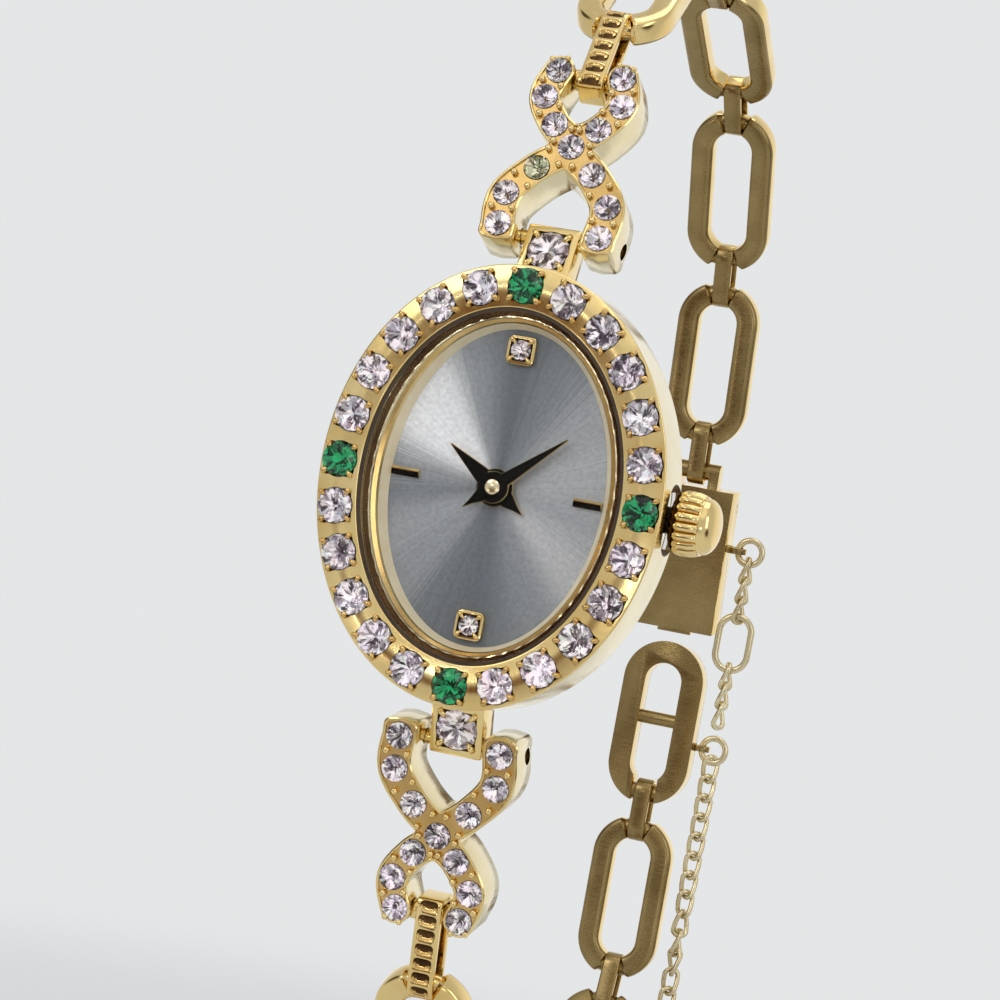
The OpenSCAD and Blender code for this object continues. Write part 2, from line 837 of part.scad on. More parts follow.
module lower_link(i) {
    color(gold) lower(i + 1) link_with_clip(lower_tilt, i + 1);
}

// An eye on the side of a link, for a safety ring that passes through it along Z
module eye(z, from_x, x) {
    translate([0, 0, z]) difference() {
        union() {
            translate([x, 0, 0]) cylinder(r = eye_r, h = eye_t, center = true);
            translate([(from_x + x - eye_hole) / 2, 0, 0]) bar_x(0.24, (x - eye_hole - from_x) / 2);
        }
        translate([x, 0, 0]) cylinder(r = eye_hole, h = 2, center = true);
    }
}

// The clasp is a shallow channel: its floor lies on the wrist and its mouth takes the ladder link
module clasp_body() {
    half = clasp_w / 2;
    color(gold) upper(clasp_i) {
        difference() {
            translate([-half, -clasp_out, clasp_start])
                cube([clasp_w, clasp_out + clasp_in, clasp_len - clasp_start]);
            translate([-half + clasp_wall, -clasp_out - cut, clasp_start + clasp_wall])
                cube([clasp_w - 2 * clasp_wall, clasp_out + clasp_in - clasp_wall + cut, clasp_len]);
            translate([0, cover_pin_y, cover_pin_z]) bar_x(cover_pin_r, half + cut);
        }
        for (s = [-1, 1]) translate([s * 1.1, 0, 0]) {
            bar_x(neck_r, 0.3);
            translate([-0.3, -neck_r, 0]) cube([0.6, 2 * neck_r, clasp_start + 2 * touch]);
        }
        bar_x(neck_r, 1);
        eye(clasp_eye_z, half - 0.1, clasp_eye_x);
    }
}

module clasp_pin() {
    color(gold) upper(clasp_i) translate([0, cover_pin_y, cover_pin_z])
        bar_x(cover_pin_r, clasp_w / 2);
}

// The cover lies in the channel's mouth and turns on its pin
module clasp_cover() {
    half = clasp_w / 2 - clasp_wall - run;
    color(gold) upper(clasp_i) difference() {
        union() {
            translate([-half, -clasp_out, cover_pin_z])
                cube([2 * half, cover_t, clasp_len - cover_pin_z + 0.1]);
            translate([0, cover_pin_y, cover_pin_z]) bar_x(barrel_r, half);
            translate([-1, -clasp_out, clasp_len]) cube([2, 0.9, 0.35]);
        }
        translate([0, cover_pin_y, cover_pin_z]) bar_x(cover_pin_r + 0.03, clasp_w);
    }
}

module ladder_link() {
    color(gold) lower(ladder_i) {
        difference() {
            slab(link_t / 2, -link_t / 2) difference() {
                link_outline(end_r);
                link_outline(slot_r);
            }
            cube([2 * neck_half, 2 * link_t, 1.5 * link_bar], center = true);
        }
        bar_x(neck_r, neck_half + 0.12);
        translate([0, 0, ladder_rung]) bar_x(0.4, slot_r + 0.1);
        mirror([1, 0, 0]) eye(ladder_eye_z, end_r - 0.15, ladder_eye_x);
    }
}

// A flat oval ring of round wire, hanging along Z in the plane of X and Z
module oval_ring(w, l, r) {
    bend = w / 2 - r;
    straight = l - w;
    for (s = [-1, 1]) {
        translate([0, 0, s * straight / 2]) rotate([90, 0, 0])
            rotate([0, 0, s > 0 ? 0 : 180]) rotate_extrude(angle = 180) translate([bend, 0]) circle(r = r);
        translate([s * bend, 0, -straight / 2]) cylinder(r = r, h = straight);
    }
}

module round_ring(r, wire_r) {
    rotate([90, 0, 0]) rotate_extrude() translate([r, 0]) circle(r = wire_r);
}

// Small links hang below one another, each turned a quarter of a turn from the last
module small_links(n) {
    for (i = [0 : n - 1]) translate([0, 0, -i * chain_step]) rotate([0, 0, i % 2 == 0 ? 45 : -45])
        oval_ring(chain_w, small_len, wire);
}

// Height of the centre of a link that hangs on another's inner edge
function hung(edge, l, r) = edge + 2 * r + slack - l / 2;

function eye_place(p, tilt, z) = p + z * along(tilt);
clasp_eye = eye_place(upper_pivot[clasp_i], upper_tilt[clasp_i], clasp_eye_z);
ladder_low = eye_place(lower_pivot[ladder_i], lower_tilt[ladder_i], ladder_eye_z);
ladder_eye = [ladder_low[0], -ladder_low[1]];

module clasp_strand() {
    join_z = hung(ring_wire - ring_r, small_len, wire);
    big_z = hung(join_z - (join_links - 1) * chain_step - small_len / 2 + 2 * wire, big_len, big_wire);
    first_z = hung(big_z - big_len / 2 + 2 * big_wire, small_len, wire);
    color(gold) translate([clasp_eye_x + ring_r, clasp_eye[0], clasp_eye[1]]) {
        round_ring(ring_r, ring_wire);
        translate([0, 0, join_z]) small_links(join_links);
        translate([0, 0, big_z]) oval_ring(big_w, big_len, big_wire);
        translate([0, 0, first_z]) small_links(clasp_strand_links);
    }
}

module ladder_strand() {
    first_z = hung(ring_wire - ring_r, small_len, wire);
    color(gold) translate([ladder_eye_x + ring_r, ladder_eye[0], ladder_eye[1]]) {
        round_ring(ring_r, ring_wire);
        translate([0, 0, first_z]) small_links(ladder_strand_links);
    }
}

case_body();
face_clear_stones();
face_green_stones();
lug_stones();
lug_pins();
crystal();
crystal_gasket();
inner_ring();
dial();
dial_markers();
dial_stones();
movement_holder();
main_plate();
train_bridge();
coil();
stator();
circuit_board();
quartz_can();
battery();
battery_clamp();
case_back();
case_back_gasket();
crown_tube();
setting_slide();
crown();
stem();
minute_hand();
center_wheel();
hand_cap();
hour_hand();
hour_wheel();
minute_wheel();
third_wheel();
intermediate_wheel();
rotor();
upper_eight_link();
upper_eight_stones();
lower_eight_link();
lower_eight_stones();
upper_connector();
lower_connector();
upper_link(1);  // upper_link_1
upper_link(2);  // upper_link_2
upper_link(3);  // upper_link_3
upper_link(4);  // upper_link_4
upper_link(5);  // upper_link_5
lower_link(1);  // lower_link_1
lower_link(2);  // lower_link_2
lower_link(3);  // lower_link_3
lower_link(4);  // lower_link_4
lower_link(5);  // lower_link_5
lower_link(6);  // lower_link_6
clasp_body();
clasp_cover();
clasp_pin();
ladder_link();
clasp_strand();
ladder_strand();
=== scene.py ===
"""Looks of the oval quartz bracelet watch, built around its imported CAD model. Lengths are in millimetres."""

import json
import math
import random

import bmesh
import bpy
import numpy as np
from mathutils import Matrix, Vector


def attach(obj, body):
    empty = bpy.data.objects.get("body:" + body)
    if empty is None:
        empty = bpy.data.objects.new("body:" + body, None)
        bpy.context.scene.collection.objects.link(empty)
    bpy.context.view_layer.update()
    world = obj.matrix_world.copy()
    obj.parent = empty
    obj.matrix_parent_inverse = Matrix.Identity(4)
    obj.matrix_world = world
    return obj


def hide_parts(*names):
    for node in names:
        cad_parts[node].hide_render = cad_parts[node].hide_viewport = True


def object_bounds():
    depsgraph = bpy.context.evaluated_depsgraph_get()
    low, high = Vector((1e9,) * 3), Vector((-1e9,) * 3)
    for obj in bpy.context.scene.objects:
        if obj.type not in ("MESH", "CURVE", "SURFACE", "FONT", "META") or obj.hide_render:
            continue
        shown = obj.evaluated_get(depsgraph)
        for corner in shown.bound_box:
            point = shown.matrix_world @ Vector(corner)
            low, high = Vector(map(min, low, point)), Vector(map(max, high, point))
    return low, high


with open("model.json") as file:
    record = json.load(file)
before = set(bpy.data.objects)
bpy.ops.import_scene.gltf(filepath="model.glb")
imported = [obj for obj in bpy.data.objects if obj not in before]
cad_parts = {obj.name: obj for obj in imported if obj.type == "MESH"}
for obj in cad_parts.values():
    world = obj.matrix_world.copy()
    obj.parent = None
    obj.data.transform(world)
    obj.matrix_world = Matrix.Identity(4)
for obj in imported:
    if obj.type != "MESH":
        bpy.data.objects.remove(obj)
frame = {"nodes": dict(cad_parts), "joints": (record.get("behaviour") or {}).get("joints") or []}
cad_box = [list(corner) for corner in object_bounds()]
MM = 0.001
TAU = 2 * math.pi

# Driving sizes, as in the CAD source
CASE_RX, CASE_RZ, CASE_H = 8.12, 10.15, 5.8
WALL_BACK, RIM_BACK = 2.2, 1.1
LEDGE, CRYSTAL_FRONT, DIAL_FRONT = 4.9, 5.55, 4.2
FACE_IN, CAVITY_IN, RIM_IN = 1.95, 1.37, 0.7
WINDOW_RX, WINDOW_RZ = 5.09, 7.31
STONES, STONE_D, LUG_STONE_D, SMALL_D = 24, 1.63, 1.95, 1.2
STONE_MID, DOME = 0.95, 0.26
DIAL_STONE_Z, DIAL_SETTING = 6.36, 1.37
LUG_W, LUG_FRONT, LUG_THICK, LUG_LEAN, LUG_IN, LUG_OUT, LUG_STONE_Z = 2.54, 4.1, 1.6, 22, 9.15, 12.4, 11.2
PIN_R = 0.35
CROWN_X, CROWN_Y, CROWN_R, CROWN_LEN, FLUTES = 8.18, -3.2, 1.5, 2.3, 18
EIGHT_ROW = ((2.43, -0.14), (2.45, 1.42), (1.34, 2.89), (0, 4.15), (1.06, 5.16), (1.89, 6.5), (1.56, 7.9))
EIGHT_ARM = (0.84, 0.84, 0.8, 0.78, 0.76, 0.76, 0.76)
EIGHT_FRONT, EIGHT_BACK, EIGHT_FOOT = 1.6, 0.7, -0.92
EIGHT_PIN = (-0.45, 8.05)
NECK_R = 0.5
STRAP_R, STRAP_T = 0.55, 0.3
CONNECTOR_STEP, CONNECTOR_W, RIBS, RIB_STEP, RIB_FIRST = 3.4, 1.24, 6, 0.7, -0.5
CLIP_STEP, CLIP_W = 2.1, 1.0
LINK_LEN, LINK_W, LINK_BAR, LINK_T = 9.7, 4.8, 1.3, 1.3
NECK_STEP = LINK_LEN - LINK_BAR
UPPER_TILT = (15.5, 30, 50, 86, 116, 150, 168, 172)
LOWER_TILT = (11, 13, 30, 54, 78, 113, 148, 182, 181)
MINUTE_AT, HOUR_AT, MINUTE_LEN, HOUR_LEN = 48.5, 304, 4.07, 2.93
RING_R, RING_WIRE = 0.72, 0.19
CLASP_EYE_X, CLASP_EYE_Z, LADDER_EYE_X, LADDER_EYE_Z = 3.13, 4.26, 2.88, 3.2
BIG_W, BIG_LEN, BIG_WIRE = 2.3, 3.6, 0.2
CHAIN_STEP, CHAIN_WIRE, SLACK = 1.15, 0.15, 0.02
CHAIN_LEN = CHAIN_STEP + 4 * CHAIN_WIRE + 2 * SLACK
JOIN_LINKS, CLASP_LINKS, LADDER_LINKS, CHAIN_W = 3, 3, 14, 1.1

rng = random.Random(5)


def turn_x(degrees):
    return Matrix.Rotation(math.radians(degrees), 4, "X")


def turn_y(degrees):
    return Matrix.Rotation(math.radians(degrees), 4, "Y")


def turn_z(degrees):
    return Matrix.Rotation(math.radians(degrees), 4, "Z")


def shift(x, y, z):
    return Matrix.Translation((x, y, z))


PIVOT = {j["child"]: Vector(j["pos_m"]) / MM for j in frame["joints"] if j.get("pos_m")}


def upper_place(i, body):
    p = PIVOT[body]
    return shift(0, p.y, p.z) @ turn_x(-UPPER_TILT[i])


def lower_place(i, body):
    p = PIVOT[body]
    return shift(0, p.y, p.z) @ turn_x(180 + LOWER_TILT[i]) @ turn_z(180)


# Materials


class Shader:
    """Makes the nodes of one material."""

    def __init__(self, name):
        self.material = bpy.data.materials.new(name)
        self.material.use_nodes = True
        self.tree = self.material.node_tree
        self.tree.nodes.clear()
        self.out = self.tree.nodes.new("ShaderNodeOutputMaterial")
        self.bsdf = self.tree.nodes.new("ShaderNodeBsdfPrincipled")
        self.link(self.bsdf.outputs[0], self.out.inputs["Surface"])

    def link(self, a, b):
        self.tree.links.new(a, b)

    def node(self, kind, **inputs):
        made = self.tree.nodes.new("ShaderNode" + kind)
        for key, value in inputs.items():
            socket = made.inputs[key.replace("_", " ")]
            if hasattr(value, "is_output"):
                self.link(value, socket)
            else:
                socket.default_value = value
        return made

    def set(self, **values):
        for key, value in values.items():
            socket = self.bsdf.inputs[key.replace("_", " ")]
            if hasattr(value, "is_output"):
                self.link(value, socket)
            else:
                socket.default_value = value
        return self

    def coords(self, scale=(1, 1, 1)):
        place = self.node("TexCoord")
        return self.node("Mapping", Vector=place.outputs["Object"], Scale=scale).outputs[0]

    def noise(self, scale, detail=3, stretch=(1, 1, 1), roughness=0.5):
        return self.node(
            "TexNoise", Vector=self.coords(stretch), Scale=scale, Detail=detail, Roughness=roughness
        ).outputs[0]

    def ramp(self, source, low, high, a=0.3, b=0.7):
        made = self.node("ValToRGB", Fac=source)
        made.color_ramp.elements[0].position = a
        made.color_ramp.elements[0].color = (*low, 1)
        made.color_ramp.elements[1].position = b
        made.color_ramp.elements[1].color = (*high, 1)
        return made.outputs[0]

    def range(self, source, low, high):
        made = self.node("MapRange")
        self.link(source, made.inputs["Value"])
        made.inputs["From Min"].default_value = 0.3
        made.inputs["From Max"].default_value = 0.7
        made.inputs["To Min"].default_value = low
        made.inputs["To Max"].default_value = high
        return made.outputs[0]

    def math(self, operation, a, b=0.0):
        made = self.tree.nodes.new("ShaderNodeMath")
        made.operation = operation
        for socket, value in zip(made.inputs, (a, b)):
            if hasattr(value, "is_output"):
                self.link(value, socket)
            else:
                socket.default_value = value
        return made.outputs[0]

    def bump(self, source, strength, distance=0.00002):
        made = self.node("Bump", Height=source, Strength=strength, Distance=distance)
        self.set(Normal=made.outputs[0])
        return self

    def let_light_through(self):
        """Lets lamps reach what is behind a clear surface."""
        path = self.node("LightPath")
        open_way = self.node("BsdfTransparent")
        mix = self.node("MixShader", Fac=path.outputs["Is Shadow Ray"])
        self.link(self.bsdf.outputs[0], mix.inputs[1])
        self.link(open_way.outputs[0], mix.inputs[2])
        self.link(mix.outputs[0], self.out.inputs["Surface"])
        return self


def metal(name, light, dark, rough=(0.06, 0.14), grain=2600, stretch=(1, 1, 1), bump=0.08):
    s = Shader(name)
    cloud = s.noise(420, 2)
    scratch = s.noise(grain, 4, stretch, 0.65)
    s.set(Base_Color=s.ramp(cloud, dark, light), Metallic=1.0, Roughness=s.range(scratch, *rough))
    return s.bump(scratch, bump).material


def solid(name, light, dark, rough, grain=1500, bump=0.1):
    s = Shader(name)
    cloud = s.noise(grain, 3)
    s.set(Base_Color=s.ramp(cloud, dark, light), Roughness=s.range(cloud, rough, rough + 0.12))
    return s.bump(cloud, bump).material


def stone_mirror(name, colour, middle, low, shine=0.85, painted_glow=0.4):
    """The foil behind a cut stone: a painted glint value per facet and small random cells set each fleck's
    tone from dark to white, with a faint painted colour tint per cell. Bright flecks are diffuse and glow a
    little as painted sparkle; dark ones mirror the room.
    """
    s = Shader(name)
    painted_glint = s.node("Attribute")
    painted_glint.attribute_name = "painted_glint"
    cells = s.node("TexVoronoi", Vector=s.coords(), Scale=3600.0)
    split = s.node("SeparateColor", Color=cells.outputs["Color"])
    by_facet = s.math("MULTIPLY", painted_glint.outputs["Fac"], 0.55)
    speck = s.math("ADD", by_facet, s.math("MULTIPLY", split.outputs[0], 0.45))
    tone = s.node("ValToRGB", Fac=speck)
    stops = tone.color_ramp.elements
    stops.new(0.5)
    for stop, (position, value) in zip(stops, ((0.24, low), (0.5, middle), (0.72, colour))):
        stop.position = position
        stop.color = (*value, 1)
    tint = s.node("MixRGB", Fac=0.14, Color1=tone.outputs[0], Color2=cells.outputs["Color"])
    tint.blend_type = "MULTIPLY"

    def over(start, end, low_value, high_value):
        made = s.node("MapRange", Value=speck)
        limits = (("From Min", start), ("From Max", end), ("To Min", low_value), ("To Max", high_value))
        for key, value in limits:
            made.inputs[key].default_value = value
        return made.outputs[0]

    s.set(Base_Color=tint.outputs[0], Metallic=over(0.35, 0.6, shine, 0.15), Roughness=0.12)
    # Painted glow: the brightest flecks emit a little light, standing in for sparkle
    s.set(Emission_Color=tint.outputs[0], Emission_Strength=over(0.66, 0.8, 0.0, painted_glow))
    return s.material


def clear_glass(name, colour, ior):
    s = Shader(name)
    smear = s.noise(900, 2)
    s.set(
        Base_Color=(*colour, 1),
        Transmission_Weight=1.0,
        IOR=ior,
        Roughness=s.range(smear, 0.0, 0.012),
    )
    return s.let_light_through().material


# Share of the turn from 6 o'clock through 9 and 12, and how bright the dial is painted there: painted sheen
# sectors in place of the light the brushed dial catches
DIAL_PAINTED_SHEEN = (
    (0.0, 0.11), (0.05, 0.13), (0.1, 0.22), (0.17, 0.25), (0.22, 0.16), (0.26, 0.22),
    (0.33, 0.62), (0.39, 0.58), (0.44, 0.2), (0.5, 0.1), (0.56, 0.15), (0.62, 0.26),
    (0.7, 0.3), (0.78, 0.26), (0.86, 0.36), (0.92, 0.2), (1.0, 0.11),
)


DIAL_GAIN = 1.5


def dial_metal():
    """Fine rays run out from the centre, over broad sectors painted lighter and darker as painted sheen, in
    place of the light the brushed dial catches.
    """
    s = Shader("dial_sunburst_painted_sheen")
    split = s.node("SeparateXYZ", Vector=s.coords())
    angle = s.math("ARCTAN2", split.outputs["X"], split.outputs["Z"])
    around = s.node("CombineXYZ", X=s.math("COSINE", angle), Y=s.math("SINE", angle))
    rays = s.node("TexNoise", Vector=around.outputs[0], Scale=110.0, Detail=5.0, Roughness=0.7)
    grain = s.noise(5200, 3)
    share = s.math("ADD", s.math("DIVIDE", angle, TAU), 0.5)
    wander = s.math("MULTIPLY", s.math("SUBTRACT", rays.outputs[0], 0.5), 0.09)
    made = s.node("ValToRGB", Fac=s.math("ADD", share, wander))
    stops = made.color_ramp.elements
    while len(stops) < len(DIAL_PAINTED_SHEEN):
        stops.new(0.5)
    for stop, (position, level) in zip(stops, DIAL_PAINTED_SHEEN):
        stop.position = position
        level *= DIAL_GAIN
        cool = 0.12 * (1 - min(1.0, 2 * level))
        stop.color = (level * (0.98 - cool), level, level * (1.02 + cool), 1)
    made.color_ramp.interpolation = "EASE"
    speck = s.math("ADD", s.math("MULTIPLY", rays.outputs[0], 0.6), s.math("MULTIPLY", grain, 0.4))
    grey = s.ramp(speck, (0.7, 0.7, 0.7), (1, 1, 1), 0.36, 0.6)
    shade = s.node("MixRGB", Fac=1.0, Color1=made.outputs[0], Color2=grey)
    shade.blend_type = "MULTIPLY"
    s.set(Base_Color=shade.outputs[0], Metallic=0.35, Roughness=s.range(rays.outputs[0], 0.36, 0.46))
    return s.bump(speck, 0.1, 0.00001).material


GOLD_LIGHT, GOLD_DARK = (0.9, 0.7, 0.33), (0.8, 0.58, 0.23)
M = {
    "gold": metal("polished_gold", GOLD_LIGHT, GOLD_DARK),
    # Paler gold for side walls, a rough line and the cap dome: a painted sheen copy of the gold
    "gold_pale_sheen": metal("polished_gold_wall_painted_sheen", (0.86, 0.76, 0.5), (0.78, 0.66, 0.39), (0.12, 0.22)),
    # Deep gold for grooves, cells, channels, ring steps and face claws: painted shade
    "gold_deep_shade": metal("gold_painted_deep_shade", (0.8, 0.55, 0.22), (0.6, 0.38, 0.13), (0.14, 0.26)),
    # Dark satin gold for faces towards the wrist: a real satin finish with painted shade
    "gold_inside_shade": metal(
        "satin_gold_inside_painted_shade", (0.36, 0.26, 0.11), (0.26, 0.18, 0.07), (0.2, 0.34), 1500, (1, 1, 6), 0.14
    ),
    "gold_chain": metal("worn_gold_chain", (0.8, 0.7, 0.46), (0.6, 0.5, 0.3), (0.18, 0.3)),
    "gold_brushed": metal(
        "brushed_gold", GOLD_LIGHT, GOLD_DARK, (0.16, 0.3), 1500, (1, 1, 14), 0.14
    ),
    "plate": metal(
        "satin_gold_plate", (0.92, 0.72, 0.34), (0.78, 0.55, 0.2), (0.16, 0.28), 1800, bump=0.25
    ),
    # Pale cream slope: a painted reflection in place of the gold's bright mirror image
    "cream_painted_reflection": solid("pale_gold_slope_painted_reflection", (0.82, 0.73, 0.52), (0.76, 0.66, 0.44), 0.3),
    # Dark gold for recesses, seats, bores and holes: painted shade
    "gold_recess_shade": metal(
        "gold_painted_recess_shade", (0.13, 0.07, 0.025), (0.06, 0.03, 0.012), (0.2, 0.34), 1500, bump=0.2
    ),
    # Near-black for hand tops and the cap ring (painted dark reflection) and the batons' lower slopes (painted
    # shade)
    "hand_painted_dark": metal("polished_hand_painted_dark_reflection_and_shade", (0.012, 0.01, 0.008), (0.006, 0.005, 0.004), (0.06, 0.12)),
    "steel": metal("brushed_steel", (0.62, 0.62, 0.63), (0.5, 0.5, 0.51), (0.15, 0.3)),
    "tube": metal("dark_steel", (0.3, 0.27, 0.24), (0.2, 0.18, 0.16), (0.15, 0.3)),
    "back": metal(
        "case_back_steel", (0.66, 0.65, 0.62), (0.56, 0.55, 0.53), (0.2, 0.34), 1800, (1, 1, 9), 0.15
    ),
    "wheel": metal("satin_brass", (0.8, 0.6, 0.28), (0.68, 0.5, 0.22), (0.22, 0.34)),
    "copper": metal(
        "copper_winding", (0.75, 0.32, 0.13), (0.5, 0.2, 0.08), (0.2, 0.35), 3200, (9, 1, 1), 0.6
    ),
    "plastic": solid("white_plastic", (0.86, 0.86, 0.82), (0.78, 0.78, 0.74), 0.42),
    "rubber": solid("black_rubber", (0.03, 0.03, 0.03), (0.015, 0.015, 0.015), 0.6),
    "board": solid("green_board", (0.05, 0.26, 0.1), (0.03, 0.17, 0.07), 0.4),
    # Dark brown gasket: painted shade at the crystal's edge
    "gasket_shade": solid("gasket_painted_dark_shade", (0.07, 0.042, 0.02), (0.035, 0.02, 0.01), 0.35),
    # Stone foils with painted glints and a painted glow on their brightest flecks
    "foil": stone_mirror("stone_foil_painted_glints", (1.0, 0.98, 1.0), (0.6, 0.52, 0.57), (0.09, 0.06, 0.08)),
    "foil_warm": stone_mirror("warm_foil_painted_glints", (0.9, 0.9, 0.66), (0.5, 0.5, 0.28), (0.1, 0.1, 0.04)),
    "foil_green": stone_mirror(
        "green_foil_painted_glints", (0.03, 0.55, 0.25), (0.001, 0.06, 0.028), (0.0, 0.012, 0.006), 0.85, 0.2
    ),
    "stone": clear_glass("cut_stone", (1, 0.985, 1), 1.5),
    "stone_green": clear_glass("cut_green_stone", (0.5, 0.95, 0.7), 1.5),
    "crystal": clear_glass("crystal_glass", (1, 1, 1), 1.16),
    "dial": dial_metal(),
}


# Mesh helpers


class Build:
    """Gathers the vertices and faces of one piece."""

    def __init__(self):
        self.verts = []
        self.faces = []
        self.kinds = []
        self.painted_glints = []

    def add(self, verts, faces, place=None, kind=0, painted_glints=None):
        base = len(self.verts)
        for v in verts:
            self.verts.append(place @ Vector(v) if place else Vector(v))
        for k, face in enumerate(faces):
            self.faces.append([base + i for i in face])
            self.kinds.append(kind[k] if isinstance(kind, list) else kind)
            self.painted_glints.append(painted_glints[k] if painted_glints else 1.0)
        return self

    def skin(self, rings, place=None, closed=True, kind=0):
        """Joins rings of points. An open skin gets a cap at each end."""
        n = len(rings[0])
        m = len(rings)
        faces = []
        for i in range(m if closed else m - 1):
            for k in range(n):
                a, b = i * n, (i + 1) % m * n
                faces.append((a + k, a + (k + 1) % n, b + (k + 1) % n, b + k))
        if not closed:
            faces.append(list(range(n))[::-1])
            faces.append([(m - 1) * n + k for k in range(n)])
        return self.add([p for ring in rings for p in ring], faces, place, kind)

    def ball(self, centre, r, place=None, flat=1.0, steps=10, kind=0):
        """A small bead, flattened along Y."""
        rings = []
        for i in range(1, steps // 2):
            t = math.pi * i / (steps // 2)
            rings.append([
                (
                    centre[0] + r * math.sin(t) * math.cos(TAU * k / steps),
                    centre[1] - r * flat * math.cos(t),
                    centre[2] + r * math.sin(t) * math.sin(TAU * k / steps),
                )
                for k in range(steps)
            ])
        return self.skin(rings, place, False, kind)

    def obj(self, name, materials, sharp=35, weld=False):
        data = bpy.data.meshes.new(name)
        data.from_pydata([v * MM for v in self.verts], [], self.faces)
        for material in materials:
            data.materials.append(material)
        data.polygons.foreach_set("material_index", self.kinds)
        # Per-face painted glint values, kept as a mesh attribute for the stone foils
        if any(g != 1.0 for g in self.painted_glints):
            painted_glint = data.attributes.new("painted_glint", "FLOAT", "FACE")
            painted_glint.data.foreach_set("value", self.painted_glints)
        made = bpy.data.objects.new(name, data)
        bpy.context.scene.collection.objects.link(made)
        tidy(made, weld)
        return smooth(made, sharp)


def tidy(piece, weld=False):
    """Turns the faces outwards, and joins points that coincide."""
    work = bmesh.new()
    work.from_mesh(piece.data)
    if weld:
        bmesh.ops.remove_doubles(work, verts=work.verts, dist=1e-7)
    bmesh.ops.recalc_face_normals(work, faces=work.faces)
    work.to_mesh(piece.data)
    work.free()
    return piece


def smooth(piece, sharp=35):
    count = len(piece.data.polygons)
    piece.data.polygons.foreach_set("use_smooth", [sharp > 0] * count)
    if sharp > 0:
        piece.data.set_sharp_from_angle(angle=math.radians(sharp))
    return piece


def settle(piece):
    """Applies the piece's modifiers."""
    graph = bpy.context.evaluated_depsgraph_get()
    made = bpy.data.meshes.new_from_object(piece.evaluated_get(graph))
    piece.modifiers.clear()
    piece.data = made
    return piece


def cut(piece, cutter, operation="DIFFERENCE"):
    way = piece.modifiers.new("cut", "BOOLEAN")
    way.operation = operation
    way.solver = "EXACT"
    way.use_self = True
    way.object = cutter
    settle(piece)
    bpy.data.objects.remove(cutter)
    return piece


def soften(piece, width, angle=35, segments=3):
    way = piece.modifiers.new("soften", "BEVEL")
    way.width = width * MM
    way.segments = segments
    way.limit_method = "ANGLE"
    way.angle_limit = math.radians(angle)
    way.harden_normals = False
    return smooth(settle(piece), angle)


def rounded(points, radii, steps=4):
    """A closed outline with its corners rounded."""
    made = []
    for i, p in enumerate(points):
        p = Vector(p)
        before = Vector(points[i - 1]) - p
        after = Vector(points[(i + 1) % len(points)]) - p
        r = radii[i] if isinstance(radii, (list, tuple)) else radii
        if r <= 0:
            made.append(tuple(p))
            continue
        half = before.angle(after) / 2
        reach = min(r / math.tan(half), before.length * 0.49, after.length * 0.49)
        start, end = p + before.normalized() * reach, p + after.normalized() * reach
        for k in range(steps + 1):
            t = k / steps
            q = start * (1 - t) ** 2 + p * (2 * t * (1 - t)) + end * t ** 2
            made.append(tuple(q))
    return made


def rounded_box(half_u, half_v, r, steps=3):
    return rounded([(-half_u, -half_v), (half_u, -half_v), (half_u, half_v), (-half_u, half_v)], r, steps)


def prism(outline, y_front, y_back, edge, place=None, steps=2):
    """A plate with softened edges, drawn in X and Z. It returns its rings for Build.skin."""
    pts = [Vector((x, z)) for x, z in outline]
    n = len(pts)
    rings = []
    bend = [math.pi / 2 * k / steps for k in range(steps + 1)]
    levels = [(edge, y_back)]
    levels += [(edge * (1 - math.sin(a)), y_back - edge * (1 - math.cos(a))) for a in bend[1:]]
    levels += [(edge * (1 - math.cos(a)), y_front + edge * (1 - math.sin(a))) for a in bend]
    area = sum(pts[i].x * pts[(i + 1) % n].y - pts[(i + 1) % n].x * pts[i].y for i in range(n))
    side = 1 if area > 0 else -1
    normals = []
    for i in range(n):
        a = (pts[i] - pts[i - 1]).normalized()
        b = (pts[(i + 1) % n] - pts[i]).normalized()
        m = Vector((a.y + b.y, -a.x - b.x)).normalized() * side
        normals.append(m / max(0.5, m.dot(Vector((a.y, -a.x)) * side)))
    for inset, y in levels:
        rings.append([(p.x - inset * q.x, y, p.y - inset * q.y) for p, q in zip(pts, normals)])
    return rings


def circle(r, steps=48, centre=(0, 0)):
    return [
        (centre[0] + r * math.cos(TAU * k / steps), centre[1] + r * math.sin(TAU * k / steps))
        for k in range(steps)
    ]


def finish_piece(piece, body, slot, *nodes):
    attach(piece, body)
    if nodes:
        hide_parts(*nodes)
    return piece


# Cut stones


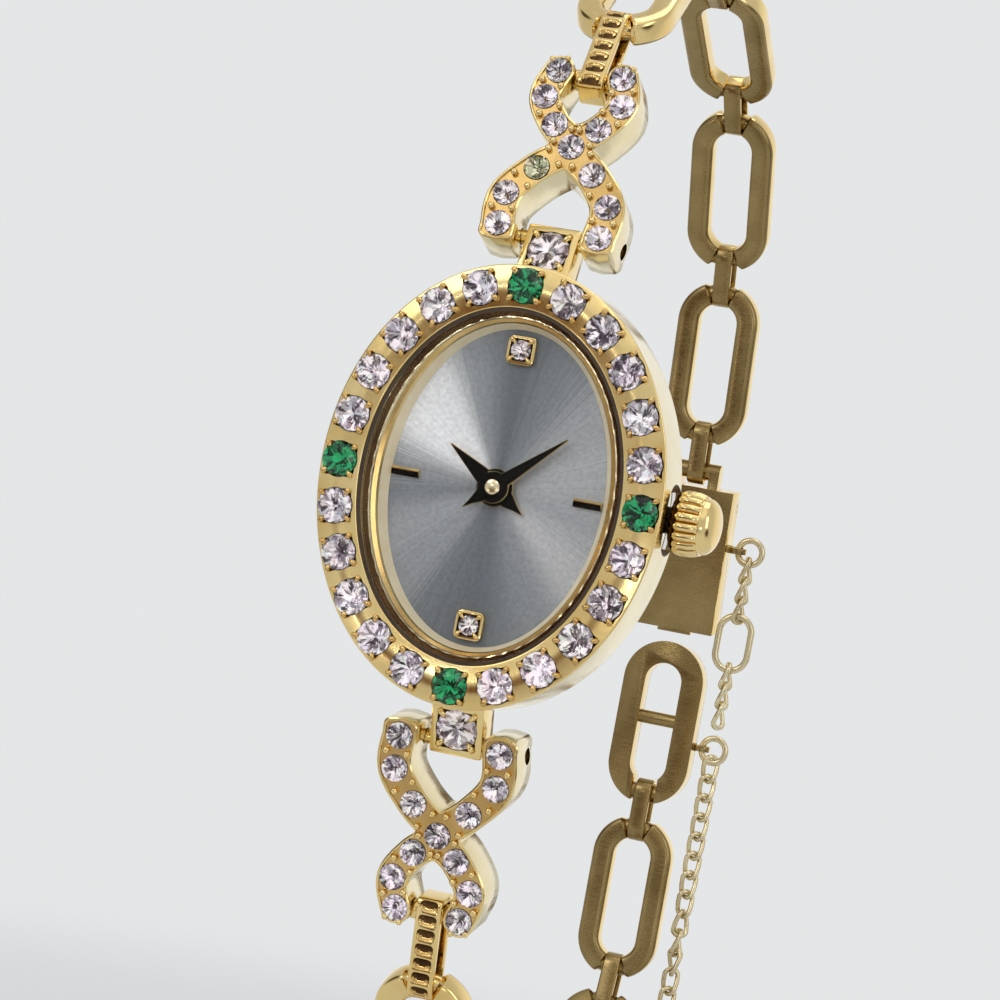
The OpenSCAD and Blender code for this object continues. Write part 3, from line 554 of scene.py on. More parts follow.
def brilliant(d, up=0.17, down=0.4):
    """Vertices, crown faces and pavilion faces of a round brilliant cut whose table faces -Y."""
    r = d / 2

    def ring(count, radius, height, turn=0.0):
        angles = [TAU * (k + turn) / count for k in range(count)]
        return [(radius * math.cos(a), -height, radius * math.sin(a)) for a in angles]

    verts = ring(8, 0.56 * r, up * d)
    verts += ring(8, 0.8 * r, 0.62 * up * d, 0.5)
    verts += ring(16, r, 0)
    verts += ring(16, r, -0.05 * d)
    verts += ring(8, 0.42 * r, -(0.05 + 0.56 * down) * d, 0.5)
    verts.append((0, (0.05 + down) * d, 0))
    star, girdle, under, main, culet = 8, 16, 32, 48, 56
    crown = [list(range(8))]
    pavilion = []
    for k in range(8):
        after, before = (k + 1) % 8, (k - 1) % 8
        g0, g1, g2 = 2 * k, 2 * k + 1, (2 * k + 2) % 16
        crown.append([k, after, star + k])
        crown.append([k, star + before, girdle + g0, star + k])
        crown.append([star + k, girdle + g0, girdle + g1])
        crown.append([star + k, girdle + g1, girdle + g2])
        crown.append([girdle + g0, under + g0, under + g1, girdle + g1])
        crown.append([girdle + g1, under + g1, under + g2, girdle + g2])
        pavilion.append([culet, main + before, under + g0, main + k])
        pavilion.append([main + k, under + g0, under + g1])
        pavilion.append([main + k, under + g1, under + g2])
    return verts, crown, pavilion


# Painted glint levels for the pavilion facets, from dark to white
PAINTED_GLINTS = (0.0, 0.12, 0.3, 0.45, 0.58, 0.7, 0.8, 0.9, 0.96, 1.0, 1.0)


def split_facets(verts, faces):
    """Cuts each facet into small ones that lean a little apart, so that the stone sparkles."""
    verts = [Vector(v) for v in verts]
    made = []
    middles = {}

    def middle(a, b):
        key = (min(a, b), max(a, b))
        if key not in middles:
            middles[key] = len(verts)
            verts.append((verts[a] + verts[b]) / 2)
        return middles[key]

    for face in faces:
        centre = sum((verts[i] for i in face), Vector()) / len(face)
        verts.append(centre - centre.normalized() * rng.uniform(-0.02, 0.05))
        hub = len(verts) - 1
        halves = [middle(a, b) for a, b in zip(face, face[1:] + face[:1])]
        for corner, before, after in zip(face, halves[-1:] + halves[:-1], halves):
            made.append([hub, before, corner, after])
    return verts, made


def set_stones(build, places, d, first=0, **cut_as):
    """Adds one cut stone at each place, turned by its own angle."""
    for place in places:
        verts, crown, pavilion = brilliant(d, **cut_as)
        verts, pavilion = split_facets(verts, pavilion)
        kinds = [first] * len(crown) + [first + 1] * len(pavilion)
        # Each pavilion facet gets a random painted glint, from dark to white
        painted_glints = [0.99] * len(crown) + [rng.choice(PAINTED_GLINTS) for _ in pavilion]
        build.add(verts, crown + pavilion, place @ turn_y(rng.uniform(0, 45)), kinds, painted_glints)


def stones(name, places, d, body, node, glass="stone", foil="foil", slot="clear_stone", **cut_as):
    build = Build()
    set_stones(build, places, d, **cut_as)
    return finish_piece(build.obj(name, [M[glass], M[foil]], 0), body, slot, node)


# Case


def oval_ring(outline, steps=192):
    """Rings of points that carry an outline of (distance in from the case's edge, y) round the oval."""
    rings = []
    for k in range(steps):
        a = TAU * k / steps
        rings.append([
            ((CASE_RX - d) * math.sin(a), y, (CASE_RZ - d * 1.0256) * math.cos(a)) for d, y in outline
        ])
    return rings


def middle_angles():
    """Angles of equally spaced points on the ring's middle line."""
    rx, rz = CASE_RX - STONE_MID, CASE_RZ - STONE_MID - 0.02
    a = np.radians(np.arange(361))
    x, z = rx * np.sin(a), rz * np.cos(a)
    run = np.concatenate([[0], np.cumsum(np.hypot(np.diff(x), np.diff(z)))])
    return lambda i: float(np.interp(run[-1] * i / STONES, run, a))


ring_angle = middle_angles()


def ring_place(i, out=0.0):
    """The frame of a place on the face ring: X runs along the ring and Z out of it."""
    rx, rz = CASE_RX - STONE_MID, CASE_RZ - STONE_MID - 0.02
    a = ring_angle(i % STONES)
    n = Vector((math.sin(a) / rx, math.cos(a) / rz)).normalized()
    return shift(rx * math.sin(a) + out * n.x, -CASE_H, rz * math.cos(a) + out * n.y) @ turn_y(
        math.degrees(math.atan2(n.x, n.y))
    )


face_places = [ring_place(i) for i in range(STONES)]
SEAT_DEEP, FACE_SEAT, LUG_SEAT = 0.34, 0.77, 0.95


def square_seat(build, place, half, d, depth=0.5):
    """The square cut round a stone and the round hole below it."""
    outline = rounded_box(half, half, 0.09, 3)
    build.skin([[(x, y, z) for x, z in outline] for y in (-0.5, SEAT_DEEP)], place, False)
    hole = circle(d / 2 + 0.03, 40)
    build.skin([[(x, y, z) for x, z in hole] for y in (-0.4, depth * d)], place, False)


def claw(build, place, x, z, length=0.3, width=0.13, height=0.16, depth=0.02):
    """A tapered prong that reaches from a seat's corner over the stone's edge."""
    way = turn_y(math.degrees(math.atan2(x, z)))
    spot = place @ shift(x, depth, z) @ way @ Matrix.Diagonal((width, height, length, 1))
    rings = []
    for t, r in ((1.0, 0.35), (0.86, 0.8), (0.5, 1.0), (0.0, 0.95), (-0.45, 0.7), (-0.8, 0.42), (-1.0, 0.16)):
        rings.append([(r * math.cos(TAU * k / 10), r * math.sin(TAU * k / 10), t) for k in range(10)])
    build.skin(rings, spot, False)
    stem = [(0.9 * width * math.cos(TAU * k / 8), 0.9 * width * math.sin(TAU * k / 8)) for k in range(8)]
    foot = place @ shift(x * 1.12, depth, z * 1.12)
    build.skin([[(a, y, b) for a, b in stem] for y in (0.0, 0.4)], foot, False)


def make_case():
    outline = rounded(
        [(0, -WALL_BACK), (0, -CASE_H + DOME), (STONE_MID, -CASE_H), (FACE_IN, -CASE_H + 0.6 * DOME),
         (FACE_IN, -LEDGE), (CAVITY_IN, -LEDGE), (CAVITY_IN, -RIM_BACK), (RIM_IN, -RIM_BACK),
         (RIM_IN, -WALL_BACK)],
        (0.12, 0.1, 1.6, 0.1, 0.03, 0.03, 0.03, 0.06, 0.03), 6,
    )
    finishes = [M["plate"], M["gold_pale_sheen"], M["gold_recess_shade"]]
    case = Build().skin(oval_ring(outline)).obj("case_shell", finishes, 30)
    seats = Build()
    for place in face_places:
        square_seat(seats, place, FACE_SEAT, STONE_D)
    cut(case, seats.obj("seats", []))
    bore = Build()
    hollow = rounded([(7.55, 0.0), (7.55, 1.65), (9.6, 1.65), (9.6, 0.0)], (0, 0.1, 0, 0), 3)
    bore.skin([
        [(x, CROWN_Y + r * math.cos(TAU * k / 64), r * math.sin(TAU * k / 64)) for k in range(64)]
        for x, r in hollow if r > 0
    ], None, False)
    cut(case, bore.obj("bore", []))
    # Seat recesses and the crown's bore are painted dark gold as painted shade, and the side walls paler gold
    # as painted sheen
    for polygon in case.data.polygons:
        normal, centre = polygon.normal, polygon.center / MM
        reach = math.hypot(centre.x / CASE_RX, centre.z / CASE_RZ)
        recess = normal.y > -0.9 and -CASE_H + 0.06 < centre.y < -LEDGE and 0.82 < reach < 0.97
        recess = recess or (centre.y > DOME + 0.02 - CASE_H and centre.y < -LEDGE and 0.82 < reach < 0.97)
        bored = centre.x > 7.5 and math.hypot(centre.y - CROWN_Y, centre.z) < 1.66 and reach < 0.99
        if recess or bored:
            polygon.material_index = 2
        elif abs(normal.y) < 0.3 and reach > 0.9:
            polygon.material_index = 1
    finish_piece(smooth(case, 30), "case", "gold", "case_body")


def make_lugs():
    """A square plate at each end of the case, which leans back towards its link."""
    reach = (LUG_OUT - LUG_IN) / math.cos(math.radians(LUG_LEAN))
    middle = (LUG_STONE_Z - LUG_IN) / math.cos(math.radians(LUG_LEAN))
    gems = []
    claws = Build()
    for name, turned in (("upper", 0), ("lower", 180)):
        place = turn_y(turned) @ shift(0, -LUG_FRONT, LUG_IN) @ turn_x(-LUG_LEAN)
        outline = rounded_box(LUG_W / 2, reach / 2, 0.14, 3)
        raised = [(x, z + reach / 2) for x, z in outline]
        plate = Build().skin(prism(raised, 0.0, LUG_THICK, 0.09), None, False)
        seat = shift(0, 0, middle)
        cutter = Build()
        square_seat(cutter, seat, LUG_SEAT, LUG_STONE_D, 0.28)
        lug = cut(plate.obj(name + "_lug_plate", [M["gold"], M["gold_recess_shade"]]), cutter.obj("lug_seat", []))
        # The seat's inner walls are painted dark gold as painted shade
        for polygon in lug.data.polygons:
            centre = polygon.center / MM
            inner = abs(centre.x) < LUG_SEAT + 0.05 and abs(centre.z - middle) < LUG_SEAT + 0.05
            polygon.material_index = 1 if inner and 0.05 < centre.y < LUG_THICK - 0.05 else 0
        lug.data.transform(scaled(place))
        finish_piece(smooth(lug, 30), "case", "gold")
        for x in (-1, 1):
            for z in (-1, 1):
                claw(claws, place @ seat, 0.71 * x, 0.71 * z, 0.32, 0.17, 0.2)
        gems.append(place @ seat)
    finish_piece(claws.obj("lug_claws", [M["gold"]], 80), "case", "gold")
    stones("lug_brilliants", gems, LUG_STONE_D, "case", "lug_stones", down=0.18)


def make_face_claws():
    claws = Build()
    for place in face_places:
        for x in (-1, 1):
            for z in (-1, 1):
                claw(claws, place, 0.59 * x, 0.59 * z, rng.uniform(0.19, 0.23), rng.uniform(0.12, 0.15))
    # The claws are painted deep gold all over as painted shade
    finish_piece(claws.obj("face_claws", [M["gold_deep_shade"]], 50), "case", "gold")


def make_face_stones():
    clear = [p for i, p in enumerate(face_places) if i % 6]
    green = [p for i, p in enumerate(face_places) if i % 6 == 0]
    stones("face_brilliants", clear, STONE_D, "case", "face_clear_stones")
    stones(
        "green_brilliants", green, STONE_D, "case", "face_green_stones",
        "stone_green", "foil_green", "green_stone",
    )


def make_inner_ring():
    """The sloped ring under the crystal: a recess painted dark brown as painted shade, a rough line of paler
    gold as painted sheen, gold steps with deep-gold painted shade between them and a slope painted pale cream
    as a painted reflection.
    """
    profile = [
        (6.6, 8.6, DIAL_FRONT + 0.01, 0), (6.6, 8.6, 4.86, 0), (6.12, 8.1, 4.86, 0), (6.12, 8.1, 5.1, 0),
        (5.99, 8.0, 5.12, 1), (5.8, 7.84, 5.02, 4), (5.77, 7.81, 5.1, 2), (5.7, 7.76, 5.1, 2),
        (5.66, 7.72, 5.0, 4), (5.48, 7.58, 4.86, 0), (5.4, 7.53, 4.72, 3), (5.16, 7.37, 4.34, 3),
        (WINDOW_RX, WINDOW_RZ, DIAL_FRONT + 0.01, 0),
    ]
    rings = []
    for k in range(192):
        a = TAU * k / 192
        ring = []
        for i, (rx, rz, y, kind) in enumerate(profile):
            grain = 0.02 * math.sin(37 * a + i) * math.sin(91 * a) if kind == 2 else 0
            ring.append(((rx + grain) * math.sin(a), -y - grain, (rz + grain) * math.cos(a)))
        rings.append(ring)
    finishes = [M["gold"], M["gold_recess_shade"], M["gold_pale_sheen"], M["cream_painted_reflection"], M["gold_deep_shade"]]
    build = Build().skin(rings)
    build.kinds = [profile[i % len(profile)][3] for i in range(len(build.kinds))]
    piece = build.obj("inner_ring_steps", finishes, 20)
    finish_piece(piece, "case", "gold", "inner_ring")


def make_crystal():
    outline = [(0.25, 0.0), (0.06, 0.0), (0.0, 0.06), (0.0, 0.4), (0.25, 0.4)]
    rings = []
    rx, rz = 6.01, 7.99
    for d, depth in outline:
        rings.append([
            ((rx - d) * math.sin(TAU * k / 160), depth - CRYSTAL_FRONT, (rz - d) * math.cos(TAU * k / 160))
            for k in range(160)
        ])
    piece = Build().skin(rings, None, False).obj("crystal_plate", [M["crystal"]], 20)
    finish_piece(piece, "case", "crystal", "crystal")


def make_dial_parts():
    batons = Build()
    for s in (-1, 1):
        outline = rounded_box(0.67, 0.2, 0.04, 2)
        # A bar with a roof: its ridge lies towards 12; the slope below is painted near-black as painted shade,
        # and the slope above stays gold
        batons.skin([
            [(x * share + 4.38 * s, -DIAL_FRONT - height, z * narrow + ridge) for x, z in outline]
            for share, narrow, ridge, height in ((0.97, 0.12, 0.08, 0.27), (1, 1, 0, 0.16), (1, 1, 0, 0))
        ], None, False)
    piece = batons.obj("dial_batons", [M["gold"], M["hand_painted_dark"]], 30)
    for polygon in piece.data.polygons:
        polygon.material_index = 1 if -0.95 < polygon.normal.z < -0.1 else 0
    squares = Build()
    holes = Build()
    claws = Build()
    for s in (-1, 1):
        place = shift(0, -DIAL_FRONT - 0.3, s * DIAL_STONE_Z)
        outline = rounded_box(DIAL_SETTING / 2, DIAL_SETTING / 2, 0.34, 5)
        squares.skin(prism(outline, 0.0, 0.3, 0.1), place, False)
        hole = rounded_box(0.53, 0.53, 0.2, 3)
        holes.skin([[(x, y, z) for x, z in hole] for y in (-0.3, 0.27)], place, False)
        for x in (-1, 1):
            for z in (-1, 1):
                claw(claws, place, 0.41 * x, 0.41 * z, 0.2, 0.11, 0.12, -0.04)
    made = cut(squares.obj("dial_settings", [M["gold"], M["gold_recess_shade"]]), holes.obj("setting_holes", []))
    # The deep middle of each setting is painted dark gold as painted shade
    for polygon in made.data.polygons:
        deep = polygon.center.y > -(DIAL_FRONT + 0.25) * MM
        middle = max(abs(polygon.center.x), abs(abs(polygon.center.z) - DIAL_STONE_Z * MM)) < 0.56 * MM
        polygon.material_index = 1 if deep and middle else 0
    finish_piece(smooth(made, 30), "case", "gold")
    finish_piece(claws.obj("dial_setting_claws", [M["gold"]], 80), "case", "gold")
    finish_piece(piece, "case", "gold", "dial_markers")
    places = [shift(0, -DIAL_FRONT - 0.32, s * DIAL_STONE_Z) for s in (1, -1)]
    stones("dial_brilliants", places, 0.92, "case", "dial_stones", down=0.2)


# Hands


def hand(name, angle, length, tail, width, hub, back, body, node):
    """A tapered hand with a pointed tail, a hub and a thin bevel all round."""
    front = back + 0.15
    half = width / 2
    side = [(0.04, length), (half, hub), (0.96 * half, -hub), (0.4 * half, -(hub + tail) / 2), (0.02, -tail)]
    blade = side + [(-x, z) for x, z in reversed(side)]
    turn = turn_y(angle)
    flat = Build().skin([[(x, -y, z) for x, z in blade] for y in (back, front)], turn, False)
    disc = Build().skin([[(x, -y, z) for x, z in circle(hub, 40)] for y in (back, front)], None, False)
    piece = flat.obj(name, [M["gold"], M["hand_painted_dark"]])
    cut(piece, disc.obj("hub", []), "UNION")
    work = bmesh.new()
    work.from_mesh(piece.data)
    bmesh.ops.dissolve_limit(work, angle_limit=0.02, verts=work.verts, edges=work.edges)
    tops = [f for f in work.faces if f.normal.y < -0.9]
    bmesh.ops.inset_region(work, faces=tops, thickness=0.024 * MM, depth=0, use_even_offset=True)
    # The top is painted near-black as a painted dark reflection of polished gold; the bevel round it stays
    # gold
    for face in tops:
        face.material_index = 1
    raised = {v for f in tops for v in f.verts}
    outer = {v for f in work.faces for v in f.verts if v.co.y < -(front - 0.001) * MM} - raised
    for v in outer:
        v.co.y += 0.04 * MM
    work.to_mesh(piece.data)
    work.free()
    return finish_piece(smooth(piece, 20), body, "gold", node)


def make_hands():
    hand("minute_hand_blade", MINUTE_AT, MINUTE_LEN, 1.7, 0.64, 0.74, 4.65, "minute_hand", "minute_hand")
    hand("hour_hand_blade", HOUR_AT, HOUR_LEN, 1.85, 0.78, 0.88, 4.4, "hour_hand", "hour_hand")
    cap = Build()
    profile = [(0.45, 4.8), (0.45, 4.86), (0.4, 4.9), (0.34, 4.91), (0.3, 4.93), (0.22, 4.96), (0.1, 4.975)]
    cap.skin([[(x, -y, z) for x, z in circle(r, 32)] for r, y in profile], None, False)
    piece = cap.obj("hand_cap_dome", [M["gold_pale_sheen"], M["hand_painted_dark"]], 25)
    for polygon in piece.data.polygons:
        # The cap's outer ring is painted near-black as a painted dark reflection; the small dome stays pale
        # gold
        polygon.material_index = 1 if polygon.center.xz.length > 0.33 * MM else 0
    finish_piece(piece, "minute_hand", "gold", "hand_cap")


# Crown


def make_crown():
    build = Build()
    r = CROWN_R
    shoulder = 0.6 * CROWN_LEN
    profile = [(0.0, r - 0.5, 0), (0.0, r - 0.36, 0.2), (0.06, r - 0.24, 0.6), (0.3, r - 0.06, 1),
               (0.55, r, 1), (1.0, r - 0.02, 1),
               (shoulder - 0.12, r - 0.08, 1), (shoulder - 0.03, r - 0.12, 0.5),
               (shoulder, r - 0.15, 0), (shoulder + 0.05, r - 0.15, 0), (shoulder + 0.08, r - 0.2, 0)]
    dome_r = r - 0.21
    height = CROWN_LEN - 0.12 - shoulder - 0.08
    for k in range(1, 12):
        t = math.pi / 2 * k / 12
        profile.append((shoulder + 0.08 + height * math.sin(t), dome_r * math.cos(t) ** 0.8, 0))
    steps = FLUTES * 12
    rings = []
    for x, radius, depth in profile:
        ring = []
        for k in range(steps):
            a = TAU * k / steps
            wave = abs(math.sin(FLUTES * a / 2)) ** 0.5
            q = radius - 0.24 * depth * (1 - wave)
            ring.append((CROWN_X + x, CROWN_Y + q * math.cos(a), q * math.sin(a)))
        rings.append(ring)
    build.skin(rings, None, False)
    # The flute grooves are painted deep gold as painted shade
    for i in range(2, 8):
        for k in range(steps):
            if k % 12 in (0, 11):
                build.kinds[i * steps + k] = 1
    piece = build.obj("crown_fluted", [M["gold"], M["gold_deep_shade"]], 40)
    bore = Build()
    for x0, x1, radius in ((-1, 0.5, 0.68), (-1, 1.3, 0.3)):
        around = circle(radius, 40, (CROWN_Y, 0))
        bore.skin([[(CROWN_X + x, y, z) for y, z in around] for x in (x0, x1)], None, False)
    cut(piece, bore.obj("crown_bore", []))
    finish_piece(smooth(piece, 40), "crown", "gold", "crown")


# Figure-eight links


def smooth_row(steps=5):
    """The row of stones as a smooth curve of (x, z, half width)."""
    row = [(*p, r) for p, r in zip(EIGHT_ROW, EIGHT_ARM)]
    row = [(EIGHT_ROW[0][0] - 0.35, -1.1, EIGHT_ARM[0])] + row + [(0.9, 9.3, EIGHT_ARM[-1])]
    made = []
    for p0, p1, p2, p3 in zip(row, row[1:], row[2:], row[3:]):
        for k in range(steps):
            t = k / steps
            made.append(tuple(
                b + 0.5 * t * (c - a + t * (2 * a - 5 * b + 4 * c - d + t * (3 * (b - c) + d - a)))
                for a, b, c, d in zip(p0, p1, p2, p3)
            ))
    return made + [row[-2]]


eight_curve = smooth_row()


def eight_distance(x, z):
    """Signed distance from the figure-eight link's edge, with soft inner corners."""
    x = np.abs(x)
    best = np.full(np.shape(x), 9.0)
    row = eight_curve

    def blend_in(best, d, k=0.12):
        h = np.clip(0.5 + 0.5 * (best - d) / k, 0, 1)
        return best * (1 - h) + d * h - k * h * (1 - h)

    sides = []
    for s in (1, -1):
        arm = np.full(np.shape(x), 9.0)
        for (ax, az, ar), (bx, bz, br) in zip(row, row[1:]):
            dx, dz = s * (bx - ax), bz - az
            t = np.clip(((x - s * ax) * dx + (z - az) * dz) / (dx * dx + dz * dz), 0, 1)
            arm = np.minimum(arm, np.hypot(x - s * ax - t * dx, z - az - t * dz) - ar * (1 - t) - br * t)
        sides.append(arm)
    best = blend_in(sides[0], sides[1])
    corner = 0.36
    qx = np.abs(x - EIGHT_ROW[0][0]) - (EIGHT_ARM[0] - corner)
    mid, half = (EIGHT_ROW[0][1] + EIGHT_FOOT) / 2, (EIGHT_ROW[0][1] - EIGHT_FOOT) / 2
    qz = np.abs(z - mid) - (half - corner)
    foot = np.hypot(np.maximum(qx, 0), np.maximum(qz, 0)) + np.minimum(np.maximum(qx, qz), 0) - corner
    return blend_in(best, foot)


def eight_outline(step=0.13):
    """Points round the link's edge, traced on a grid and then drawn to the edge."""
    cell = 0.07
    xs = np.arange(-3.8, 3.8 + cell, cell) + 0.0123
    zs = np.arange(-1.3, 9.9 + cell, cell) + 0.0071
    grid = eight_distance(*np.meshgrid(xs, zs, indexing="ij"))
    inside = grid < 0
    links = {}
    for i, k in zip(*np.nonzero(inside[:-1, :-1] | inside[1:, :-1] | inside[:-1, 1:] | inside[1:, 1:])):
        corners = ((i, k), (i + 1, k), (i + 1, k + 1), (i, k + 1))
        crossed = []
        for a, b in zip(corners, corners[1:] + corners[:1]):
            if inside[a] != inside[b]:
                crossed.append((min(a, b), max(a, b)))
        if len(crossed) == 2:
            links.setdefault(crossed[0], []).append(crossed[1])
            links.setdefault(crossed[1], []).append(crossed[0])
    start = next(iter(links))
    loop = [start]
    previous = None
    while True:
        options = [e for e in links[loop[-1]] if e != previous]
        previous = loop[-1]
        if options[0] == start:
            break
        loop.append(options[0])
    points = np.array([
        [(xs[a[0]] + xs[b[0]]) / 2, (zs[a[1]] + zs[b[1]]) / 2] for a, b in loop
    ])
    for _ in range(3):
        points = snap(points, 0.0)
        closed = np.vstack([points, points[:1]])
        run = np.concatenate([[0], np.cumsum(np.hypot(*np.diff(closed, axis=0).T))])
        count = int(run[-1] / step)
        at = np.linspace(0, run[-1], count, endpoint=False)
        points = np.column_stack([np.interp(at, run, closed[:, 0]), np.interp(at, run, closed[:, 1])])
    return snap(points, 0.0)


def snap(points, level):
    """Moves points along the slope of the distance until they lie at the level."""
    e = 1e-4
    for _ in range(3):
        x, z = points[:, 0], points[:, 1]
        d = eight_distance(x, z) - level
        g = np.column_stack([
            eight_distance(x + e, z) - eight_distance(x - e, z),
            eight_distance(x, z + e) - eight_distance(x, z - e),
        ]) / (2 * e)
        points = points - d[:, None] * g / np.maximum((g ** 2).sum(1), 0.2)[:, None]
    return points


eight_edge = eight_outline()
CHANNEL = 0.1
EIGHT_LEVELS = (
    (0.14, EIGHT_BACK), (0.05, EIGHT_BACK - 0.03), (0.0, EIGHT_BACK - 0.12), (0.0, -EIGHT_FRONT + 0.12),
    (0.02, -EIGHT_FRONT + 0.04), (0.07, -EIGHT_FRONT), (0.12, -EIGHT_FRONT), (0.15, -EIGHT_FRONT + 0.02),
    (0.17, -EIGHT_FRONT + CHANNEL),
)


def make_eight(side, place):
    rings = []
    for inset, y in EIGHT_LEVELS:
        moved = snap(eight_edge, -inset)
        rings.append([(x, y, z) for x, z in moved])
    link = Build().skin(rings, None, False)
    piece = link.obj(side + "_eight_body", [M["gold"], M["gold_recess_shade"], M["gold_pale_sheen"], M["gold_deep_shade"]], 30)
    cutter = Build()
    beads = Build()
    seats = []
    # The cut walls of the stone holes and pin bores are painted dark gold as painted shade
    for i, (x, z) in enumerate(EIGHT_ROW):
        for s in (1, -1) if x > 0 else (1,):
            seat = shift(s * x, -EIGHT_FRONT, z)
            seats.append(place @ seat)
            hole = circle(SMALL_D / 2 + 0.03, 32)
            cutter.skin([[(px, y, pz) for px, pz in hole] for y in (-0.2, 0.5)], seat, False, 1)
    for s in (1, -1):
        bore = circle(PIN_R * 1.14, 32)
        cutter.skin([[(s * x, y, z) for y, z in bore] for x in (1.2, 3.8)], None, False, 1)
        for i in range(len(EIGHT_ROW) - 1):
            a, b = Vector(EIGHT_ROW[i]), Vector(EIGHT_ROW[i + 1])
            n = Vector((b.y - a.y, a.x - b.x)).normalized()
            for off in (-0.5, 0.5):
                p = (a + b) / 2 + off * n
                beads.ball((s * p.x, -EIGHT_FRONT - 0.03, p.y), 0.17, None, 1.0, 12)
        for x, z in ((0.42, 0.5), (-0.3, 0.62)):
            middle = (s * (EIGHT_ROW[-1][0] + x), -EIGHT_FRONT - 0.02, EIGHT_ROW[-1][1] + z)
            beads.ball(middle, 0.15, None, 1.0, 12)
    cut(piece, cutter.obj("eight_cuts", [M["gold"], M["gold_recess_shade"]]))
    # Side walls are painted paler gold as painted sheen, and the channel floor deep gold as painted shade
    for polygon in piece.data.polygons:
        if polygon.material_index == 0 and abs(polygon.normal.y) < 0.3:
            polygon.material_index = 2
        elif polygon.material_index == 0 and -EIGHT_FRONT + 0.5 * CHANNEL < polygon.center.y / MM < 0:
            polygon.material_index = 3
    neck = Build()
    neck.skin([[(x, y, z) for y, z in circle(NECK_R, 40, EIGHT_PIN)] for x in (-1.1, 1.1)], None, False)
    for made in (smooth(piece, 30), beads.obj(side + "_eight_beads", [M["gold"]], 80),
                 neck.obj(side + "_eight_neck", [M["gold"]], 30)):
        made.data.transform(scaled(place))
        finish_piece(made, side + "_eight_link", "gold", side + "_eight_link")
    odd = seats[5:6] if side == "upper" else []
    rest = [s for s in seats if s not in odd]
    stones(side + "_eight_brilliants", rest, SMALL_D + 0.04, side + "_eight_link", side + "_eight_stones")
    if odd:
        stones("warm_brilliant", odd, SMALL_D, side + "_eight_link", side + "_eight_stones", foil="foil_warm")


def scaled(place):
    """A placement in millimetres as one in metres."""
    made = place.copy()
    made.translation *= MM
    return made


# Straps, long links and the clasp


def stadium(step, r, arc=16, run=10):
    """Points and outward directions of a loop in Y and Z round two axes that are a step apart."""
    made = []
    for k in range(run):
        made.append(((-r, step * k / run), (-1, 0)))
    for k in range(arc):
        a = math.pi * k / arc
        made.append(((-r * math.cos(a), step + r * math.sin(a)), (-math.cos(a), math.sin(a))))
    for k in range(run):
        made.append(((r, step * (1 - k / run)), (1, 0)))
    for k in range(arc):
        a = math.pi * k / arc
        made.append(((r * math.cos(a), -r * math.sin(a)), (math.cos(a), -math.sin(a))))
    return made


def square_ended(step, r, corner=0.2, arc=5):
    """The same loop with a squared end round the first axis."""
    made = [q for q in stadium(step, r) if q[0][1] > -1e-6]
    for turn, side in ((0, 1), (90, -1)):
        for k in range(arc + 1):
            a = math.radians(turn + 90 * k / arc)
            centre = side * (r - corner)
            out = (math.cos(a), -math.sin(a))
            made.append(((centre + corner * out[0], corner - r + corner * out[1]), out))
    return made


def strap_rings(path, width, edge, crown=0.0):
    """A closed band round two necks; crown rounds its outer face."""
    section = rounded_box(STRAP_T / 2, width / 2, edge, 3)
    rings = []
    for (y, z), (ny, nz) in path:
        ring = []
        for out, across in section:
            if out > 0:
                out -= crown * (2 * across / width) ** 2
            ring.append((across, y + out * ny, z + out * nz))
        rings.append(ring)
    return rings


def make_connector(side, place):
    mid = STRAP_R + STRAP_T / 2
    finishes = [M["gold"], M["gold_deep_shade"], M["gold_recess_shade"]]
    rings = strap_rings(square_ended(CONNECTOR_STEP, mid), CONNECTOR_W, 0.08)
    piece = Build().skin(rings).obj(side + "_connector_band", finishes, 30)
    cells = Build()
    for i in range(RIBS + 2):
        z = RIB_FIRST + i * RIB_STEP
        over = math.degrees(max(0.0, z - CONNECTOR_STEP) / (STRAP_R + STRAP_T))
        spot = shift(0, 0, min(z, CONNECTOR_STEP)) @ turn_x(-over) @ shift(0, -STRAP_R - STRAP_T, 0)
        rings = []
        for depth, share in ((-0.1, 1.06), (0.0, 1.0), (0.12, 0.92), (0.22, 0.8), (0.25, 0.5)):
            ring = []
            for k in range(28):
                a = TAU * k / 28
                c, s = math.cos(a), math.sin(a)
                across = 0.45 * share * math.copysign(abs(c) ** 0.4, c)
                along = 0.27 * share * math.copysign(abs(s) ** 0.7, s)
                slope = max(0.0, depth) * (0.55 - 1.6 * along)
                ring.append((across, min(depth, slope) if depth > 0 else depth, along))
            rings.append(ring)
        cells.skin(rings, spot, False, 1)
    cut(piece, cells.obj("cells", finishes))
    # Cell walls are painted deep gold, and the deeper parts of each cell dark gold, as painted shade in the
    # recesses
    for polygon in piece.data.polygons:
        centre = polygon.center / MM
        sunk = STRAP_R + STRAP_T - math.hypot(centre.y, max(0.0, centre.z - CONNECTOR_STEP))
        if polygon.material_index == 1 and sunk > 0.1:
            polygon.material_index = 2
    piece.data.transform(scaled(place))
    finish_piece(smooth(piece, 50), side + "_connector", "gold", side + "_connector")


def link_path(count=240):
    """Points and outward directions of a long link's middle line, evenly spaced."""
    r = LINK_W / 2 - LINK_BAR / 2
    straight = NECK_STEP - 2 * r
    total = 2 * straight + TAU * r
    made = []
    for k in range(count):
        s = total * k / count
        if s < straight:
            made.append(((r, r + s), (1, 0)))
        elif s < straight + math.pi * r:
            a = (s - straight) / r
            made.append(((r * math.cos(a), r + straight + r * math.sin(a)), (math.cos(a), math.sin(a))))
        elif s < 2 * straight + math.pi * r:
            made.append(((-r, r + straight - (s - straight - math.pi * r)), (-1, 0)))
        else:
            a = (s - 2 * straight - math.pi * r) / r
            made.append(((-r * math.cos(a), r - r * math.sin(a)), (-math.cos(a), -math.sin(a))))
    return made


